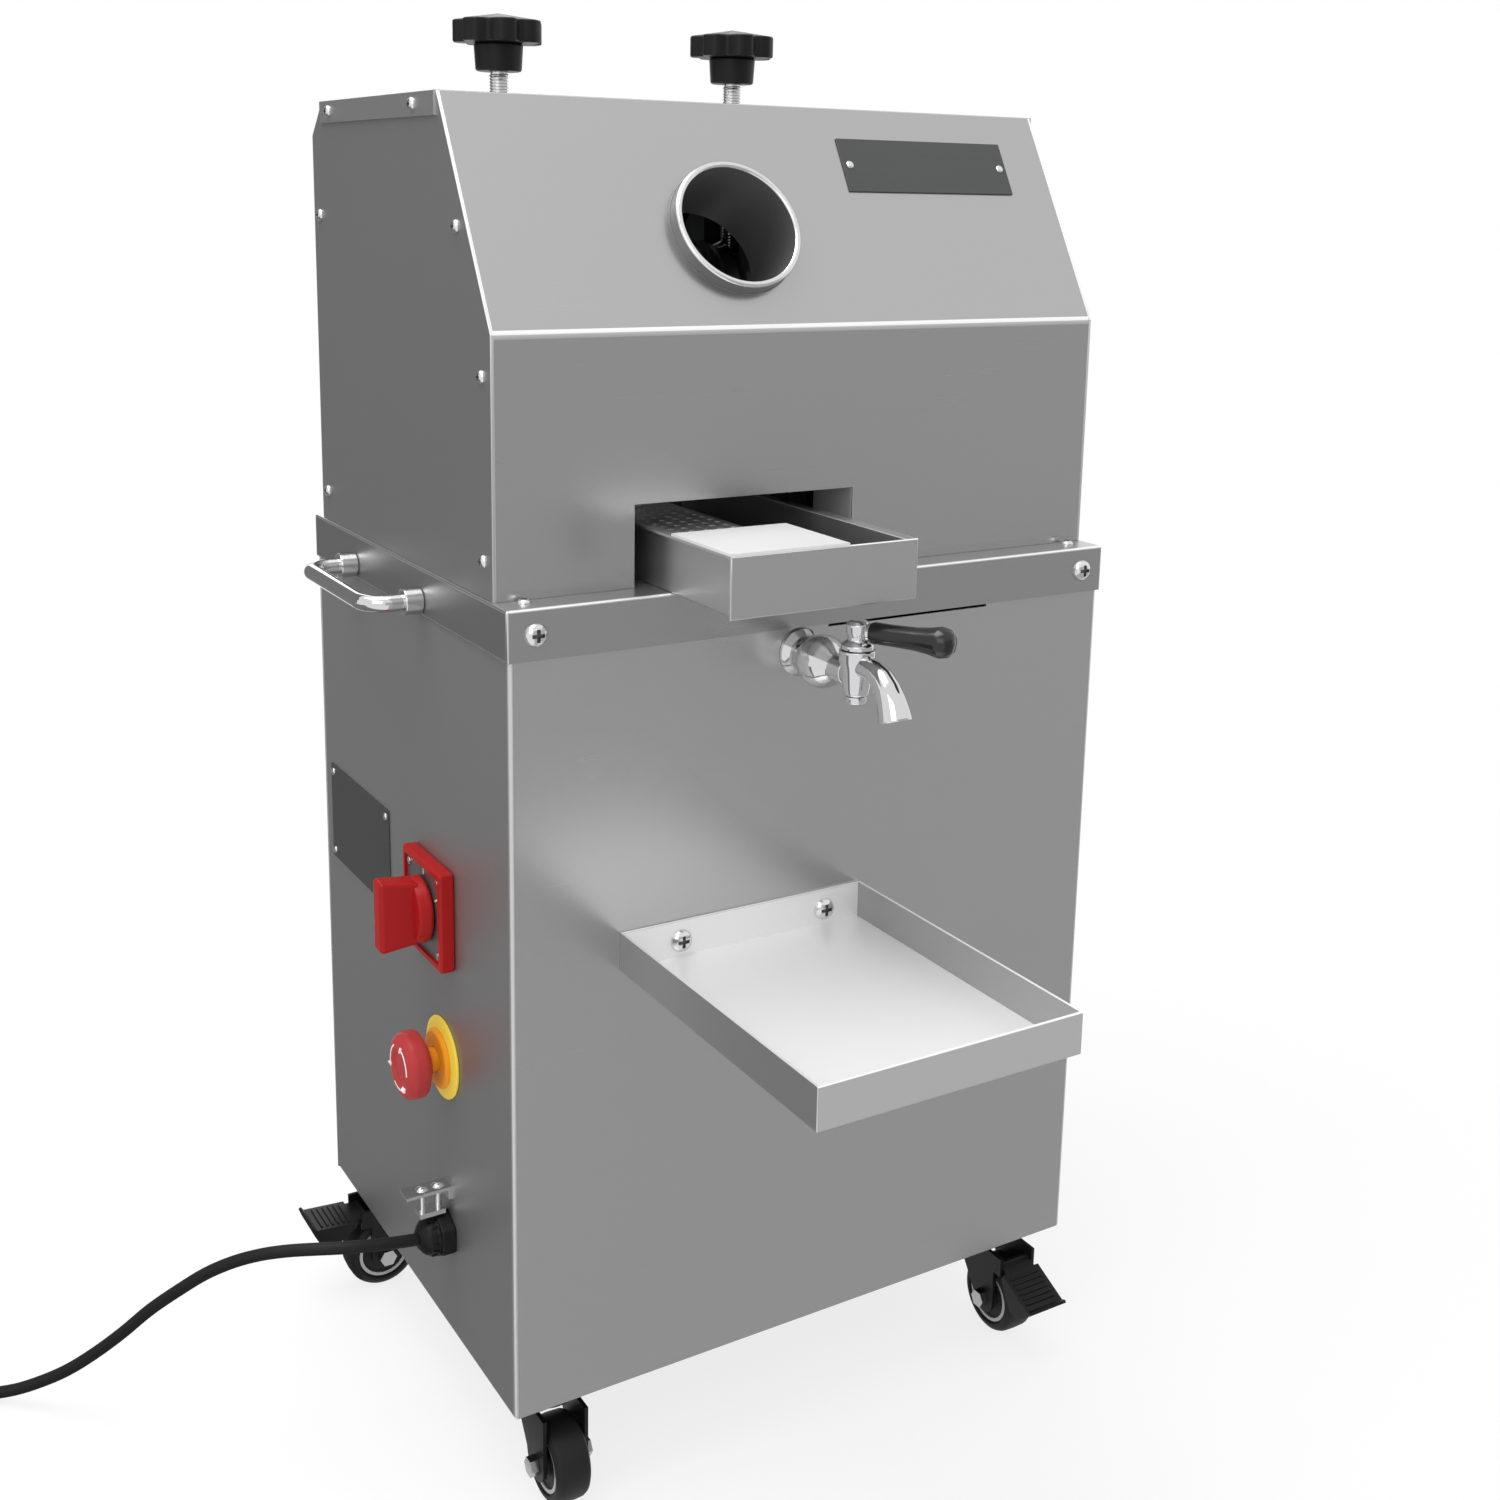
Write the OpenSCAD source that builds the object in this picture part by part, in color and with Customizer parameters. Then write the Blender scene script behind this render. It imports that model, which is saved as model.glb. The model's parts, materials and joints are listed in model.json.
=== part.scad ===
// Electric sugarcane juicer on castors: a sheet steel cabinet carries a three-roller mill under
// a hood, a juice drawer, a tap and a jug shelf. Millimetres, +Z up, front towards -Y.
// The origin is on the floor, under the middle of the machine's outline without its cord.

/* [Cabinet] */
// Width of the cabinet, left to right
cab_w = 400; // [390:1:440]
// Depth of the cabinet, front to back
cab_d = 310; // [300:1:340]
// Height from the cabinet's bottom to the top plate's upper face
cab_h = 470; // [440:1:520]
// Thickness of the stainless sheet
sheet_t = 1.5; // [1.2:0.1:2]
// Thickness of the cabinet's floor
floor_t = 3; // [2:0.5:5]
// Height of the top plate's folded skirt
skirt_h = 28; // [22:1:36]
// Width of the slit under the skirt
slit_w = 114; // [80:1:140]

/* [Hood] */
// Total height of the hood
hood_h = 262; // [255:1:290]
// Height of the hood's upright front
hood_front_h = 139; // [130:1:150]
// Step from the cabinet's front back to the hood's front
hood_front_in = 19; // [14:1:26]
// Step from the cabinet's back in to the hood's back
hood_back_in = 12; // [8:1:20]
// How far the slanted panel leans back
hood_lean = 69; // [60:1:80]
// Leg of the chamfer along the back of the roof
hood_chamfer = 20; // [12:1:28]
// Height of the strips folded down over the hood's ends
strip_h = 13; // [8:1:20]

/* [Cane inlet] */
// Bore of the cane inlet
inlet_bore_d = 70; // [60:1:76]
// Wall of the inlet tube
inlet_wall = 4; // [2:0.5:6]
// How far the tube stands out of the slanted panel
inlet_out = 9; // [6:1:20]
// How far the tube reaches into the hood
inlet_in = 45; // [30:1:50]
// Distance of the inlet's axis up the slanted panel
inlet_up = 60; // [56:1:68]

/* [Mill] */
// Middle of the mill, from the cabinet's left face
mill_x = 156; // [150:1:160]
// Axis of the top roller, from the cabinet's front face
mill_y = 183; // [178:1:188]
// Axis of the top roller, above the top plate
mill_z = 152; // [148:1:158]
// Distance between the two cheeks, middle to middle
cheek_pitch = 159; // [154:1:164]
// Thickness of a cheek
cheek_t = 12; // [10:1:14]
// Diameter of a roller
roller_d = 60; // [54:1:60]
// Gap between the top roller and a lower one
nip = 2; // [1:0.5:4]
// Distance between the two lower rollers' axes
lower_pitch = 72; // [72:1:78]
// Diameter of the roller shafts
shaft_d = 28; // [22:1:30]
// Teeth of each roller's gear
gear_teeth = 20; // [18:1:22]
// Face width of the gears
gear_w = 18; // [12:1:20]

/* [Pressure knobs] */
// Diameter across a knob's lobes
knob_d = 55; // [45:1:60]
// Number of lobes
knob_lobes = 7; // [5:1:8]
// Diameter of the threaded stud
stud_d = 12; // [10:1:14]
// Bare length of stud between the roof and the knob
stud_bare = 17; // [8:1:30]

/* [Juice drawer] */
// Width of the drawer
drawer_w = 116; // [100:1:126]
// Length of the drawer
drawer_l = 250; // [220:1:260]
// Height of the drawer
drawer_h = 33; // [26:1:34]
// Drawer's left side, from the cabinet's left face
drawer_x = 90; // [88:1:96]
// How far the drawer stands out in front of the cabinet
drawer_out = 72; // [40:1:90]
// Width of the slot in the hood
slot_w = 142; // [132:1:150]
// Height of the slot in the hood
slot_h = 46; // [40:1:60]

/* [Tap] */
// Tap axis, from the cabinet's left face
tap_x = 179; // [160:1:200]
// Tap axis, below the top plate's upper face
tap_drop = 42.5; // [42.5:0.5:55]
// Distance of the plug's axis in front of the cabinet
tap_reach = 57; // [45:1:70]
// Angle of the lever from straight ahead
lever_turn = 30; // [0:1:45]

/* [Jug shelf] */
// Width of the shelf
shelf_w = 160; // [120:1:200]
// Depth of the shelf
shelf_d = 200; // [180:1:240]
// Height of the shelf's rim
shelf_h = 23; // [15:1:30]
// Shelf's left side, from the cabinet's left face
shelf_x = 65; // [40:1:100]
// Top of the shelf's rim, above the cabinet's bottom
shelf_z = 281; // [240:1:300]

/* [Side controls] */
// Switch axis, from the cabinet's front face
switch_y = 109; // [90:1:120]
// Switch axis, above the cabinet's bottom
switch_z = 270; // [260:1:300]
// Width of the switch plate
switch_w = 60; // [48:1:70]
// Stop button's axis, from the cabinet's front face
estop_y = 100; // [90:1:120]
// Stop button's axis, above the cabinet's bottom
estop_z = 178; // [170:1:190]
// Diameter of the stop button's head
estop_d = 40; // [30:1:44]
// Travel of the stop button
estop_travel = 5; // [3:0.5:6]

/* [Handles and castors] */
// Distance between a handle's legs
handle_w = 112; // [90:1:130]
// Reach of a handle
handle_out = 36; // [32:1:44]
// Diameter of a handle's bar
handle_d = 10; // [8:0.5:12]
// Height of a castor
caster_h = 73; // [70:1:90]
// Diameter of a castor's wheel
wheel_d = 50; // [44:1:52]
// Width of a castor's wheel
wheel_w = 22; // [16:1:26]
// Castor axis, in from both faces of the cabinet
caster_in = 35; // [34:1:50]

/* [Hidden] */

$fn = 64;
// Overrun of every cut past the face it opens
over = 1;
// Gap between welded or pressed round pieces of one body
weld_gap = 0.05;
// Radial clearance of a running fit
run_gap = 0.05;
// Gap between moving flat faces
slide_gap = 0.3;

// Reach past the cabinet's left, right, front and back faces
switch_knob_out = 36;
right_reach = handle_out + sheet_t;
left_reach = max(right_reach, switch_knob_out);
chute_out = 60;
rear_reach = chute_out - hood_back_in;
front_reach = shelf_d;

// Faces of the cabinet and levels in the part's own frame
left_x = (left_reach - right_reach - cab_w) / 2;
right_x = left_x + cab_w;
front_y = (front_reach - rear_reach - cab_d) / 2;
back_y = front_y + cab_d;
base_z = caster_h;
deck_z = base_z + cab_h;
roof_z = deck_z + hood_h;

// Corners of the hood's outline, from the foot of its front over the roof to the foot of its back
hood_y0 = front_y + hood_front_in;
hood_y1 = back_y - hood_back_in;
hood_outer = [
    [hood_y0, deck_z],
    [hood_y0, deck_z + hood_front_h],
    [hood_y0 + hood_lean, roof_z],
    [hood_y1 - hood_chamfer, roof_z],
    [hood_y1, roof_z - hood_chamfer],
    [hood_y1, deck_z]
];
hood_inner = inset_path(hood_outer, sheet_t);
lean_angle = atan2(hood_lean, hood_h - hood_front_h);

// Mill axes
mill_mid = left_x + mill_x;
mill_top = [front_y + mill_y, deck_z + mill_z];
axis_pitch = roller_d + nip;
lower_drop = sqrt(pow(axis_pitch, 2) - pow(lower_pitch / 2, 2));
mill_feed = mill_top + [-lower_pitch / 2, -lower_drop];
mill_rear = mill_top + [lower_pitch / 2, -lower_drop];
cheek_xs = [mill_mid - cheek_pitch / 2, mill_mid + cheek_pitch / 2];
cheek_in_l = cheek_xs[0] + cheek_t / 2;
cheek_in_r = cheek_xs[1] - cheek_t / 2;
cheek_out_l = cheek_xs[0] - cheek_t / 2;
cheek_out_r = cheek_xs[1] + cheek_t / 2;
cheek_d = 140;
cheek_h = 214;
cheek_shoulder = 30;
foot_w = 26;
foot_t = 10;
block_w = 44;
block_lip = 4;
bush_wall = 4;
bush_d = shaft_d + 2 * bush_wall;
roller_gap = 3;
shaft_end = 8;
groove_count = 11;
groove_w = 3;
groove_h = 1.5;
gear_gap = 7;
gear_x = cheek_out_r + gear_gap;
gear_end = gear_x + gear_w;
bridge_h = 14;
bridge_z = deck_z + cheek_h - bridge_h;
screw_wall = 2;
screw_bottom = mill_top[1] + shaft_d / 2 + screw_wall;

// Pressure knobs
knob_hub_d = 29;
knob_hub_taper = 2;
knob_hub_h = 16;
knob_edge_h = 13;
knob_crown = 4;
knob_lobe_d = 17;
knob_disc_d = knob_d - knob_lobe_d / 2;
knob_crown_d = knob_disc_d - knob_crown;

// Involute gear form
gear_module = axis_pitch / gear_teeth;
gear_pressure = 20;
gear_backlash = 1.4;
gear_root_share = 1.2;
flank_steps = 5;

// Gearbox and motor
coupling_d = 46;
coupling_l = 30;
gearbox_w = 62;
gearbox_d = 120;
gearbox_top = 62;
gearbox_x = gear_end + coupling_l + slide_gap;
gearbox_boss_d = 50;
gearbox_boss_t = 5;
worm_offset = 58;
output_stub = 26;
stub_d = 20;
motor_d = 120;
motor_l = 170;
motor_flange_d = 132;
motor_flange_t = 12;
motor_spigot_d = 70;
motor_fins = 16;
fin_t = 3;
fin_h = 4;
cowl_l = 38;
motor_x = gearbox_x + gearbox_w / 2;
motor_y = mill_rear[0] - worm_offset;

// Juice path below the rollers
pan_drop = 34;
pan_h = 22;
pan_slot_w = 96;
pan_slot_l = 46;
tank_w = 150;
tank_l = 200;
tank_h = 66;
tank_back = 12;
deck_opening_w = 96;
deck_opening_l = 136;
drain_d = 30;
drain_back = 45;
deck_opening_y = 64;
tank_y = front_y + tank_back;
drain_y = front_y + deck_opening_y + drain_back;

// Cabinet details
return_w = 16;
slit_h = 2;
slit_x = 198;
vent_count = 8;
vent_w = 120;
vent_h = 5;
vent_pitch = 16;
vent_apart = 90;
vent_z = 90;

// Inlet in the slanted panel's own axes
inlet_offset = 3;
inlet_x = mill_mid + inlet_offset;
inlet_d = inlet_bore_d + 2 * inlet_wall;

// Bagasse outlet
chute_w = 140;
chute_h = 84;
chute_up = 70;
chute_z = deck_z + chute_up;
chute_fall = 34;
chute_flange = 14;

// Drawer
slot_in = 83;
slot_x = left_x + slot_in;
drawer_lip = 5;
drawer_y = front_y - drawer_out;
strainer_cover_share = 0.62;
strainer_hole_d = 4;
strainer_pitch = 9;
strainer_rows = 18;
strainer_cols = 7;
strainer_start = 74;
strainer_front = 63;
strainer_dip = 10;

// Plates and fasteners
plate_t = 1;
name_w = 122;
name_h = 35;
name_x = 245;
name_up = 103;
data_w = 110;
data_h = 65;
data_y = 185;
data_z = 239;
rivet_d = 5;
rivet_t = 1.2;
rivet_in = 5;
screw_d = 7.5;
screw_t = 2.4;
hood_screw_in = 12;
bolt_d = 13;
bolt_t = 4;
bolt_in = 15;
bolt_up = 12;
shelf_screw_xs = [103, 199];
shelf_screw_drop = 12;

// Places of the hood ends' screws, as shares along each edge of the outline
front_screw_shares = [0.144, 0.84];
lean_screw_shares = [0.48];
back_screw_shares = [0.2, 0.92];
strip_screw_shares = [0.165, 0.91];
panel_screw_shares = [0.06, 0.5, 0.94];
strip_screw_in = strip_h / 2;
deck_screw_in = 15;
deck_screw_y = 13;
back_screw_in = 12;

// Handles, on the skirt
handle_y = 177;
handle_drop = 19;
ferrule_d = 16;
ferrule_l = 8;
elbow_r = 14;

// Tap
tap_z = deck_z - tap_drop;
tap_flange_d = 28;
tap_flange_t = 4;
tap_pipe_d = 21;
tap_ball_d = 30;
tap_ball_out = 24;
tap_neck_d = 15;
tap_nut_d = 30;
tap_nut_w = 10;
tap_house_d = 20;
tap_house_low_d = 14;
tap_house_low = 11;
tap_house_high = 14.5;
tap_plug_d = 9;
tap_spout_d = 15;
tap_spout_bore = 10;
tap_spout_rise = 6.5;
tap_spout_run = 22;
tap_bend_r = 16;
tap_outlet = 7;
tap_cap_d = 18;
tap_cap_h = 4;
tap_arm_d = 6;
tap_arm_l = 44;
grip_start = 8;
grip_l = 48;
grip_d = 12;
grip_end_d = 17;
tap_tail_d = 12;
tap_boss_d = 13;
tap_boss_h = 12;
tap_tail_h = 5;
tap_inside = 20;

// Switch
switch_plate_t = 9;
switch_hub_d = 40;
switch_hub_t = 8;
switch_bar_w = 13;
switch_bar_l = 44;
switch_body_w = 46;
switch_body_l = 50;
switch_shaft_d = 8;

// Stop button
estop_disc_d = 50;
estop_disc_t = 3;
estop_ring_d = 36;
estop_ring_t = 6;
estop_neck_d = 22;
estop_neck_l = 5;
estop_cap_l = 17;
estop_stem_d = 14;
estop_body_w = 42;
estop_body_l = 46;
estop_dome = 4;
estop_bore_l = 26;

// Gland, clamp and cord
gland_y = 97;
gland_z = 66;
gland_hex_d = 30;
gland_hex_l = 9;
gland_dome_d = 24;
gland_tip_d = 13;
gland_out = 20;
gland_nut_l = 6;
clamp_l = 28;
clamp_w = 12;
clamp_t = 2;
clamp_up = 30;
clamp_foot = 8;
saddle_l = 16;
saddle_w = 10;
saddle_t = 3;
clamp_screw_d = 4;
clamp_screw_xs = [6.5, 16.5];
cord_d = 7.4;
cord_sides = 8;

// Route of the free cord, from the gland to the coil, measured from the cabinet's front left
// corner and from the floor
cord_route = [
    [-20, 97, 139], [-30, 97, 140.5], [-42, 97, 142.5], [-54, 98, 144.5], [-66, 101, 145.5],
    [-79, 107, 145.5], [-92, 116, 143.5], [-105, 127, 139], [-118, 140, 131], [-131, 154, 119.5],
    [-144, 169, 104], [-158, 185, 86], [-172, 200, 66], [-186, 216, 47], [-200, 231, 31],
    [-214, 245, 19], [-228, 258, 10], [-243, 270, 5], [-259, 281, 4], [-276, 289, 4],
    [-294, 294, 4], [-312, 295, 4]
];
coil_mid = [-312, 345];
coil_out_r = 50;
coil_gap = 0.6;
coil_low_z = 4;
coil_total = 4;
coil_ring_count = 24;
coil_sides = 6;
coil_tail = 48;
plug_l = 44;
plug_d = 22;
plug_neck_l = 12;
pin_d = 4.8;
pin_l = 19;
pin_pitch = 19;

// Castors
caster_plate_w = 62;
caster_plate_d = 54;
caster_plate_t = 3;
cup_d = 38;
cup_t = 8;
pivot_d = 10;
pivot_head_d = 17;
pivot_head_t = 2.5;
fork_top_t = 3;
fork_leg_t = 2.5;
fork_gap = 1;
fork_front = 15;
fork_eye_d = 20;
trail = 18;
axle_d = 8;
axle_nut_d = 12;
axle_nut_t = 5;
wheel_hub_d = 34;
wheel_hub_in = 2;
wheel_r = wheel_d / 2;
// Flats round the tread, one of them straight down, so that a wheel stands and doesn't rock on an edge
tread_flats = 60;
tread_r = wheel_r / cos(180 / tread_flats);
tread_points = [for (i = [0 : tread_flats - 1]) polar(tread_r, (i + 0.5) * 360 / tread_flats)];
fork_inner_w = wheel_w + 2 * fork_gap;
fork_outer_w = fork_inner_w + 2 * fork_leg_t;
fork_top_z = caster_h - caster_plate_t - cup_t - slide_gap;
pedal_pivot_t = 30;
pedal_pivot_z = 54;
pedal_pin_d = 5;
pedal_t = 4;
pedal_w = 30;
pedal_up_tilt = 4;
pedal_down_tilt = -25;
pedal_clear = 3.5;
// Outline of the tread, its turned-up tip and the wedge under it, along and up from the pin
pedal_outline = [
    [8.5, 2], [36.5, 2], [39, 4.5], [40.5, 3.5], [38, -2], [31, -13], [25, -14], [19, -10],
    [12, -4.5], [8.5, -2]
];
caster_turn_fl = -90;
caster_turn_fr = -90;
caster_turn_bl = 180;
caster_turn_br = 60;
caster_left_x = left_x + caster_in;
caster_right_x = right_x - caster_in;
caster_front_y = front_y + caster_in;
caster_back_y = back_y - caster_in;

steel = [0.68, 0.69, 0.70];
bright = [0.82, 0.83, 0.84];
iron = [0.45, 0.46, 0.48];
black = [0.07, 0.07, 0.08];
red = [0.75, 0.12, 0.14];
yellow = [0.93, 0.75, 0.10];

// Box between two corners
module span(low, high) {
    translate(low) cube(high - low);
}

// Round bar along X from x0 to x1, about a [y, z] axis
module bar_x(d, x0, x1, axis) {
    translate([x0, axis[0], axis[1]]) rotate([0, 90, 0]) cylinder(h = x1 - x0, d = d);
}

// Round bar along Y from y0 to y1, about an [x, z] axis
module bar_y(d, y0, y1, axis) {
    translate([axis[0], y0, axis[1]]) rotate([-90, 0, 0]) cylinder(h = y1 - y0, d = d);
}

// Round bar up Z from z0 to z1, about an [x, y] axis
module bar_z(d, z0, z1, axis) {
    translate([axis[0], axis[1], z0]) cylinder(h = z1 - z0, d = d);
}

// Outline in Y and Z, drawn out along X
module prism_x(x0, x1, points) {
    translate([x0, 0, 0])
        rotate([90, 0, 90])
            linear_extrude(height = x1 - x0) polygon(points);
}

// Places its children on the slanted panel: X along the machine, Y up the slope, Z out of it
module on_slant(x, up) {
    translate([x, hood_outer[1][0], hood_outer[1][1]])
        rotate([90 - lean_angle, 0, 0]) translate([0, up, 0]) children();
}

// Places its children on the left face: X towards the back, Y up, Z out of the machine
module on_left(y, z) {
    translate([left_x, front_y + y, base_z + z]) rotate([90, 0, -90])
        mirror([1, 0, 0]) children();
}

// Low domed head that stands on the XY plane
module dome_head(d, t) {
    rotate_extrude() difference() {
        translate([0, t / 2 - dome_r(d, t) + t / 2]) circle(r = dome_r(d, t));
        translate([-2 * dome_r(d, t), -2 * dome_r(d, t)]) square([2 * dome_r(d, t), 4 * dome_r(d, t)]);
        translate([-over, -2 * dome_r(d, t)]) square([2 * dome_r(d, t), 2 * dome_r(d, t)]);
    }
}

// Radius of the sphere whose cap has this width and height
function dome_r(d, t) = (pow(d / 2, 2) + pow(t, 2)) / (2 * t);

// Inner path of a folded sheet: each point of an open path moved to its right by t
function unit(v) = v / norm(v);
function right_of(v) = [v[1], -v[0]];
function inset_path(path, t) = [
    for (i = [0 : len(path) - 1])
        let (a = unit(path[min(i + 1, len(path) - 1)] - path[min(i, len(path) - 2)]),
             b = unit(path[max(i, 1)] - path[max(i - 1, 0)]),
             m = unit(right_of(a) + right_of(b)))
        path[i] + m * t / (m * right_of(a))
];

// Folded sheet along part of the hood's outline
module hood_sheet(x0, x1, first, last) {
    prism_x(x0, x1, concat(
        [for (i = [first : last]) hood_outer[i]],
        [for (i = [last : -1 : first]) hood_inner[i]]
    ));
}

// Front and both sides of the cabinet, folded from one sheet, with returns at the back
module cabinet_shell() {
    in_x0 = left_x + sheet_t;
    in_x1 = right_x - sheet_t;
    end_y = back_y - sheet_t;
    top = deck_z - sheet_t;
    color(steel) difference() {
        span([left_x, front_y, base_z], [right_x, end_y, top]);
        span([in_x0, front_y + sheet_t, base_z - over], [in_x1, end_y - sheet_t, top + over]);
        span([in_x0 + return_w, front_y + sheet_t, base_z - over],
             [in_x1 - return_w, end_y + over, top + over]);
        span([left_x + slit_x, front_y - over, deck_z - skirt_h - slit_h],
             [left_x + slit_x + slit_w, front_y + sheet_t + over, deck_z - skirt_h]);
        bar_y(tap_pipe_d + 2 * weld_gap, front_y - over, front_y + sheet_t + over,
              [left_x + tap_x, tap_z]);
        bar_x(switch_shaft_d + 2 * slide_gap, left_x - over, left_x + sheet_t + over,
              [front_y + switch_y, base_z + switch_z]);
        bar_x(estop_neck_d + 2 * weld_gap, left_x - over, left_x + sheet_t + over,
              [front_y + estop_y, base_z + estop_z]);
        bar_x(gland_dome_d + 2 * weld_gap, left_x - over, left_x + sheet_t + over,
              [front_y + gland_y, base_z + gland_z]);
    }
}

// Floor plate inside the shell, which the castors bolt to
module cabinet_floor() {
    color(steel) span([left_x + sheet_t, front_y + sheet_t, base_z],
                      [right_x - sheet_t, back_y - 2 * sheet_t, base_z + floor_t]);
}

// Screwed back panel with a block of vent slots
module cabinet_back() {
    mid_x = (left_x + right_x) / 2;
    color(steel) difference() {
        span([left_x, back_y - sheet_t, base_z], [right_x, back_y, deck_z - sheet_t]);
        for (i = [0 : vent_count - 1], side = [-1, 1])
            translate([mid_x + side * vent_apart - vent_w / 2, back_y - sheet_t - over,
                       base_z + vent_z + i * vent_pitch])
                cube([vent_w, sheet_t + 2 * over, vent_h]);
    }
}

// Top plate with a skirt folded down round the cabinet
module top_plate() {
    color(steel) difference() {
        span([left_x - sheet_t, front_y - sheet_t, deck_z - skirt_h],
             [right_x + sheet_t, back_y + sheet_t, deck_z]);
        span([left_x, front_y, deck_z - skirt_h - over], [right_x, back_y, deck_z - sheet_t]);
        translate([mill_mid - deck_opening_w / 2, front_y + deck_opening_y, deck_z - sheet_t - over])
            cube([deck_opening_w, deck_opening_l, sheet_t + 2 * over]);
        bar_z(motor_spigot_d + 2 * weld_gap, deck_z - sheet_t - over, deck_z + over,
              [motor_x, motor_y]);
    }
}

// Bent front of the hood: upright below, slanted above, with the drawer slot and the inlet hole
module hood_front() {
    color(steel) difference() {
        hood_sheet(left_x + sheet_t, right_x - sheet_t, 0, 2);
        span([slot_x, hood_y0 - over, deck_z - over],
             [slot_x + slot_w, hood_y0 + sheet_t + over, deck_z + slot_h]);
        on_slant(inlet_x, inlet_up)
            translate([0, 0, -sheet_t - over])
                cylinder(h = sheet_t + 2 * over, d = inlet_d + 2 * weld_gap);
    }
}

// Roof, chamfer and back in one sheet, with strips folded down over the ends
module hood_cover() {
    strip_y0 = hood_outer[2][0];
    strip_y1 = hood_outer[3][0];
    color(steel) difference() {
        union() {
            hood_sheet(left_x + sheet_t, right_x - sheet_t, 2, 5);
            for (x = [left_x - sheet_t, right_x])
                span([x, strip_y0, roof_z - strip_h], [x + sheet_t, strip_y1, roof_z]);
            for (x = [left_x, right_x - sheet_t])
                span([x, strip_y0, roof_z - sheet_t], [x + sheet_t, strip_y1, roof_z]);
        }
        for (x = cheek_xs)
            bar_z(stud_d + 2 * slide_gap, roof_z - sheet_t - over, roof_z + over, [x, mill_top[0]]);
        span([mill_mid - chute_w / 2, hood_y1 - sheet_t - over, chute_z],
             [mill_mid + chute_w / 2, hood_y1 + over, chute_z + chute_h]);
    }
}

// Flat end of the hood, under the roof's strip
module hood_end(x) {
    color(steel) difference() {
        prism_x(x, x + sheet_t, hood_outer);
        span([x - over, hood_outer[2][0], roof_z - sheet_t],
             [x + sheet_t + over, hood_outer[3][0], roof_z + over]);
    }
}

module hood_end_left() {
    hood_end(left_x);
}

module hood_end_right() {
    hood_end(right_x - sheet_t);
}

// Tube that guides the cane into the feed nip
module inlet_tube() {
    color(bright) on_slant(inlet_x, inlet_up) translate([0, 0, -inlet_in]) difference() {
        cylinder(h = inlet_in + inlet_out, d = inlet_d);
        translate([0, 0, -over]) cylinder(h = inlet_in + inlet_out + 2 * over, d = inlet_bore_d);
    }
}

// Open chute behind the mill, flanged on to the hood's back
module bagasse_chute() {
    x0 = mill_mid - chute_w / 2;
    x1 = mill_mid + chute_w / 2;
    floor_line = [[hood_y1, chute_z], [hood_y1 + chute_out, chute_z - chute_fall]];
    side = [
        [hood_y1, chute_z - sheet_t],
        [hood_y1 + chute_out, chute_z - chute_fall - sheet_t],
        [hood_y1 + chute_out, chute_z - chute_fall + chute_h / 2],
        [hood_y1, chute_z + chute_h]
    ];
    color(steel) {
        prism_x(x0 - sheet_t, x0, side);
        prism_x(x1, x1 + sheet_t, side);
        prism_x(x0, x1, [
            floor_line[0], floor_line[1],
            floor_line[1] - [0, sheet_t], floor_line[0] - [0, sheet_t]
        ]);
        for (x = [x0 - chute_flange, x1 + sheet_t])
            span([x, hood_y1, chute_z], [x + chute_flange - sheet_t, hood_y1 + sheet_t, chute_z + chute_h]);
    }
}

// Bare plate on the slanted panel
module name_plate() {
    color(iron) on_slant(left_x + name_x, name_up)
        translate([0, -name_h / 2, 0]) cube([name_w, name_h, plate_t]);
}

// Bare plate on the left side
module data_plate() {
    color(iron) on_left(data_y, data_z) cube([data_w, data_h, plate_t]);
}

// Bow handle of round bar in its own axes: legs along Z out of the skirt, bar along X
module bow_handle() {
    reach = handle_out - handle_d / 2;
    for (side = [-1, 1]) translate([side * handle_w / 2, 0, 0]) {
        cylinder(h = ferrule_l, d1 = ferrule_d, d2 = handle_d + slide_gap);
        cylinder(h = reach - elbow_r, d = handle_d);
        translate([-side * elbow_r, 0, reach - elbow_r]) rotate([90, 0, 0])
            rotate([0, 0, side > 0 ? 0 : 90])
                rotate_extrude(angle = 90) translate([elbow_r, 0]) circle(d = handle_d);
    }
    translate([-handle_w / 2 + elbow_r, 0, reach]) rotate([0, 90, 0])
        cylinder(h = handle_w - 2 * elbow_r, d = handle_d);
}

// A handle on each side of the skirt
module carry_handles() {
    color(bright) {
        translate([left_x - sheet_t, front_y + handle_y, deck_z - handle_drop])
            rotate([90, 0, -90]) bow_handle();
        translate([right_x + sheet_t, front_y + handle_y, deck_z - handle_drop])
            rotate([90, 0, 90]) bow_handle();
    }
}

// Shallow tray that carries the jug
module shelf_tray() {
    x0 = left_x + shelf_x;
    top = base_z + shelf_z;
    color(steel) difference() {
        span([x0, front_y - shelf_d, top - shelf_h], [x0 + shelf_w, front_y, top]);
        span([x0 + sheet_t, front_y - shelf_d + sheet_t, top - shelf_h + sheet_t],
             [x0 + shelf_w - sheet_t, front_y - sheet_t, top + over]);
    }
}

// Domed bolts of the skirt and the shelf
module skirt_bolts() {
    z = deck_z - bolt_up - bolt_t / 2;
    color(bright) {
        for (x = [left_x + bolt_in, right_x - bolt_in]) {
            translate([x, front_y - sheet_t, z]) rotate([90, 0, 0]) dome_head(bolt_d, bolt_t);
            translate([x, back_y + sheet_t, z]) rotate([-90, 0, 0]) dome_head(bolt_d, bolt_t);
        }
        for (x = shelf_screw_xs)
            translate([left_x + x, front_y - sheet_t, base_z + shelf_z - shelf_screw_drop])
                rotate([90, 0, 0]) dome_head(bolt_d, bolt_t);
    }
}

// Point on the hood end, a share along one edge and a step in from it
function along_edge(i, share, step) =
    let (a = hood_outer[i], b = hood_outer[i + 1], d = unit(b - a))
    a + (b - a) * share + right_of(d) * step;

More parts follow.
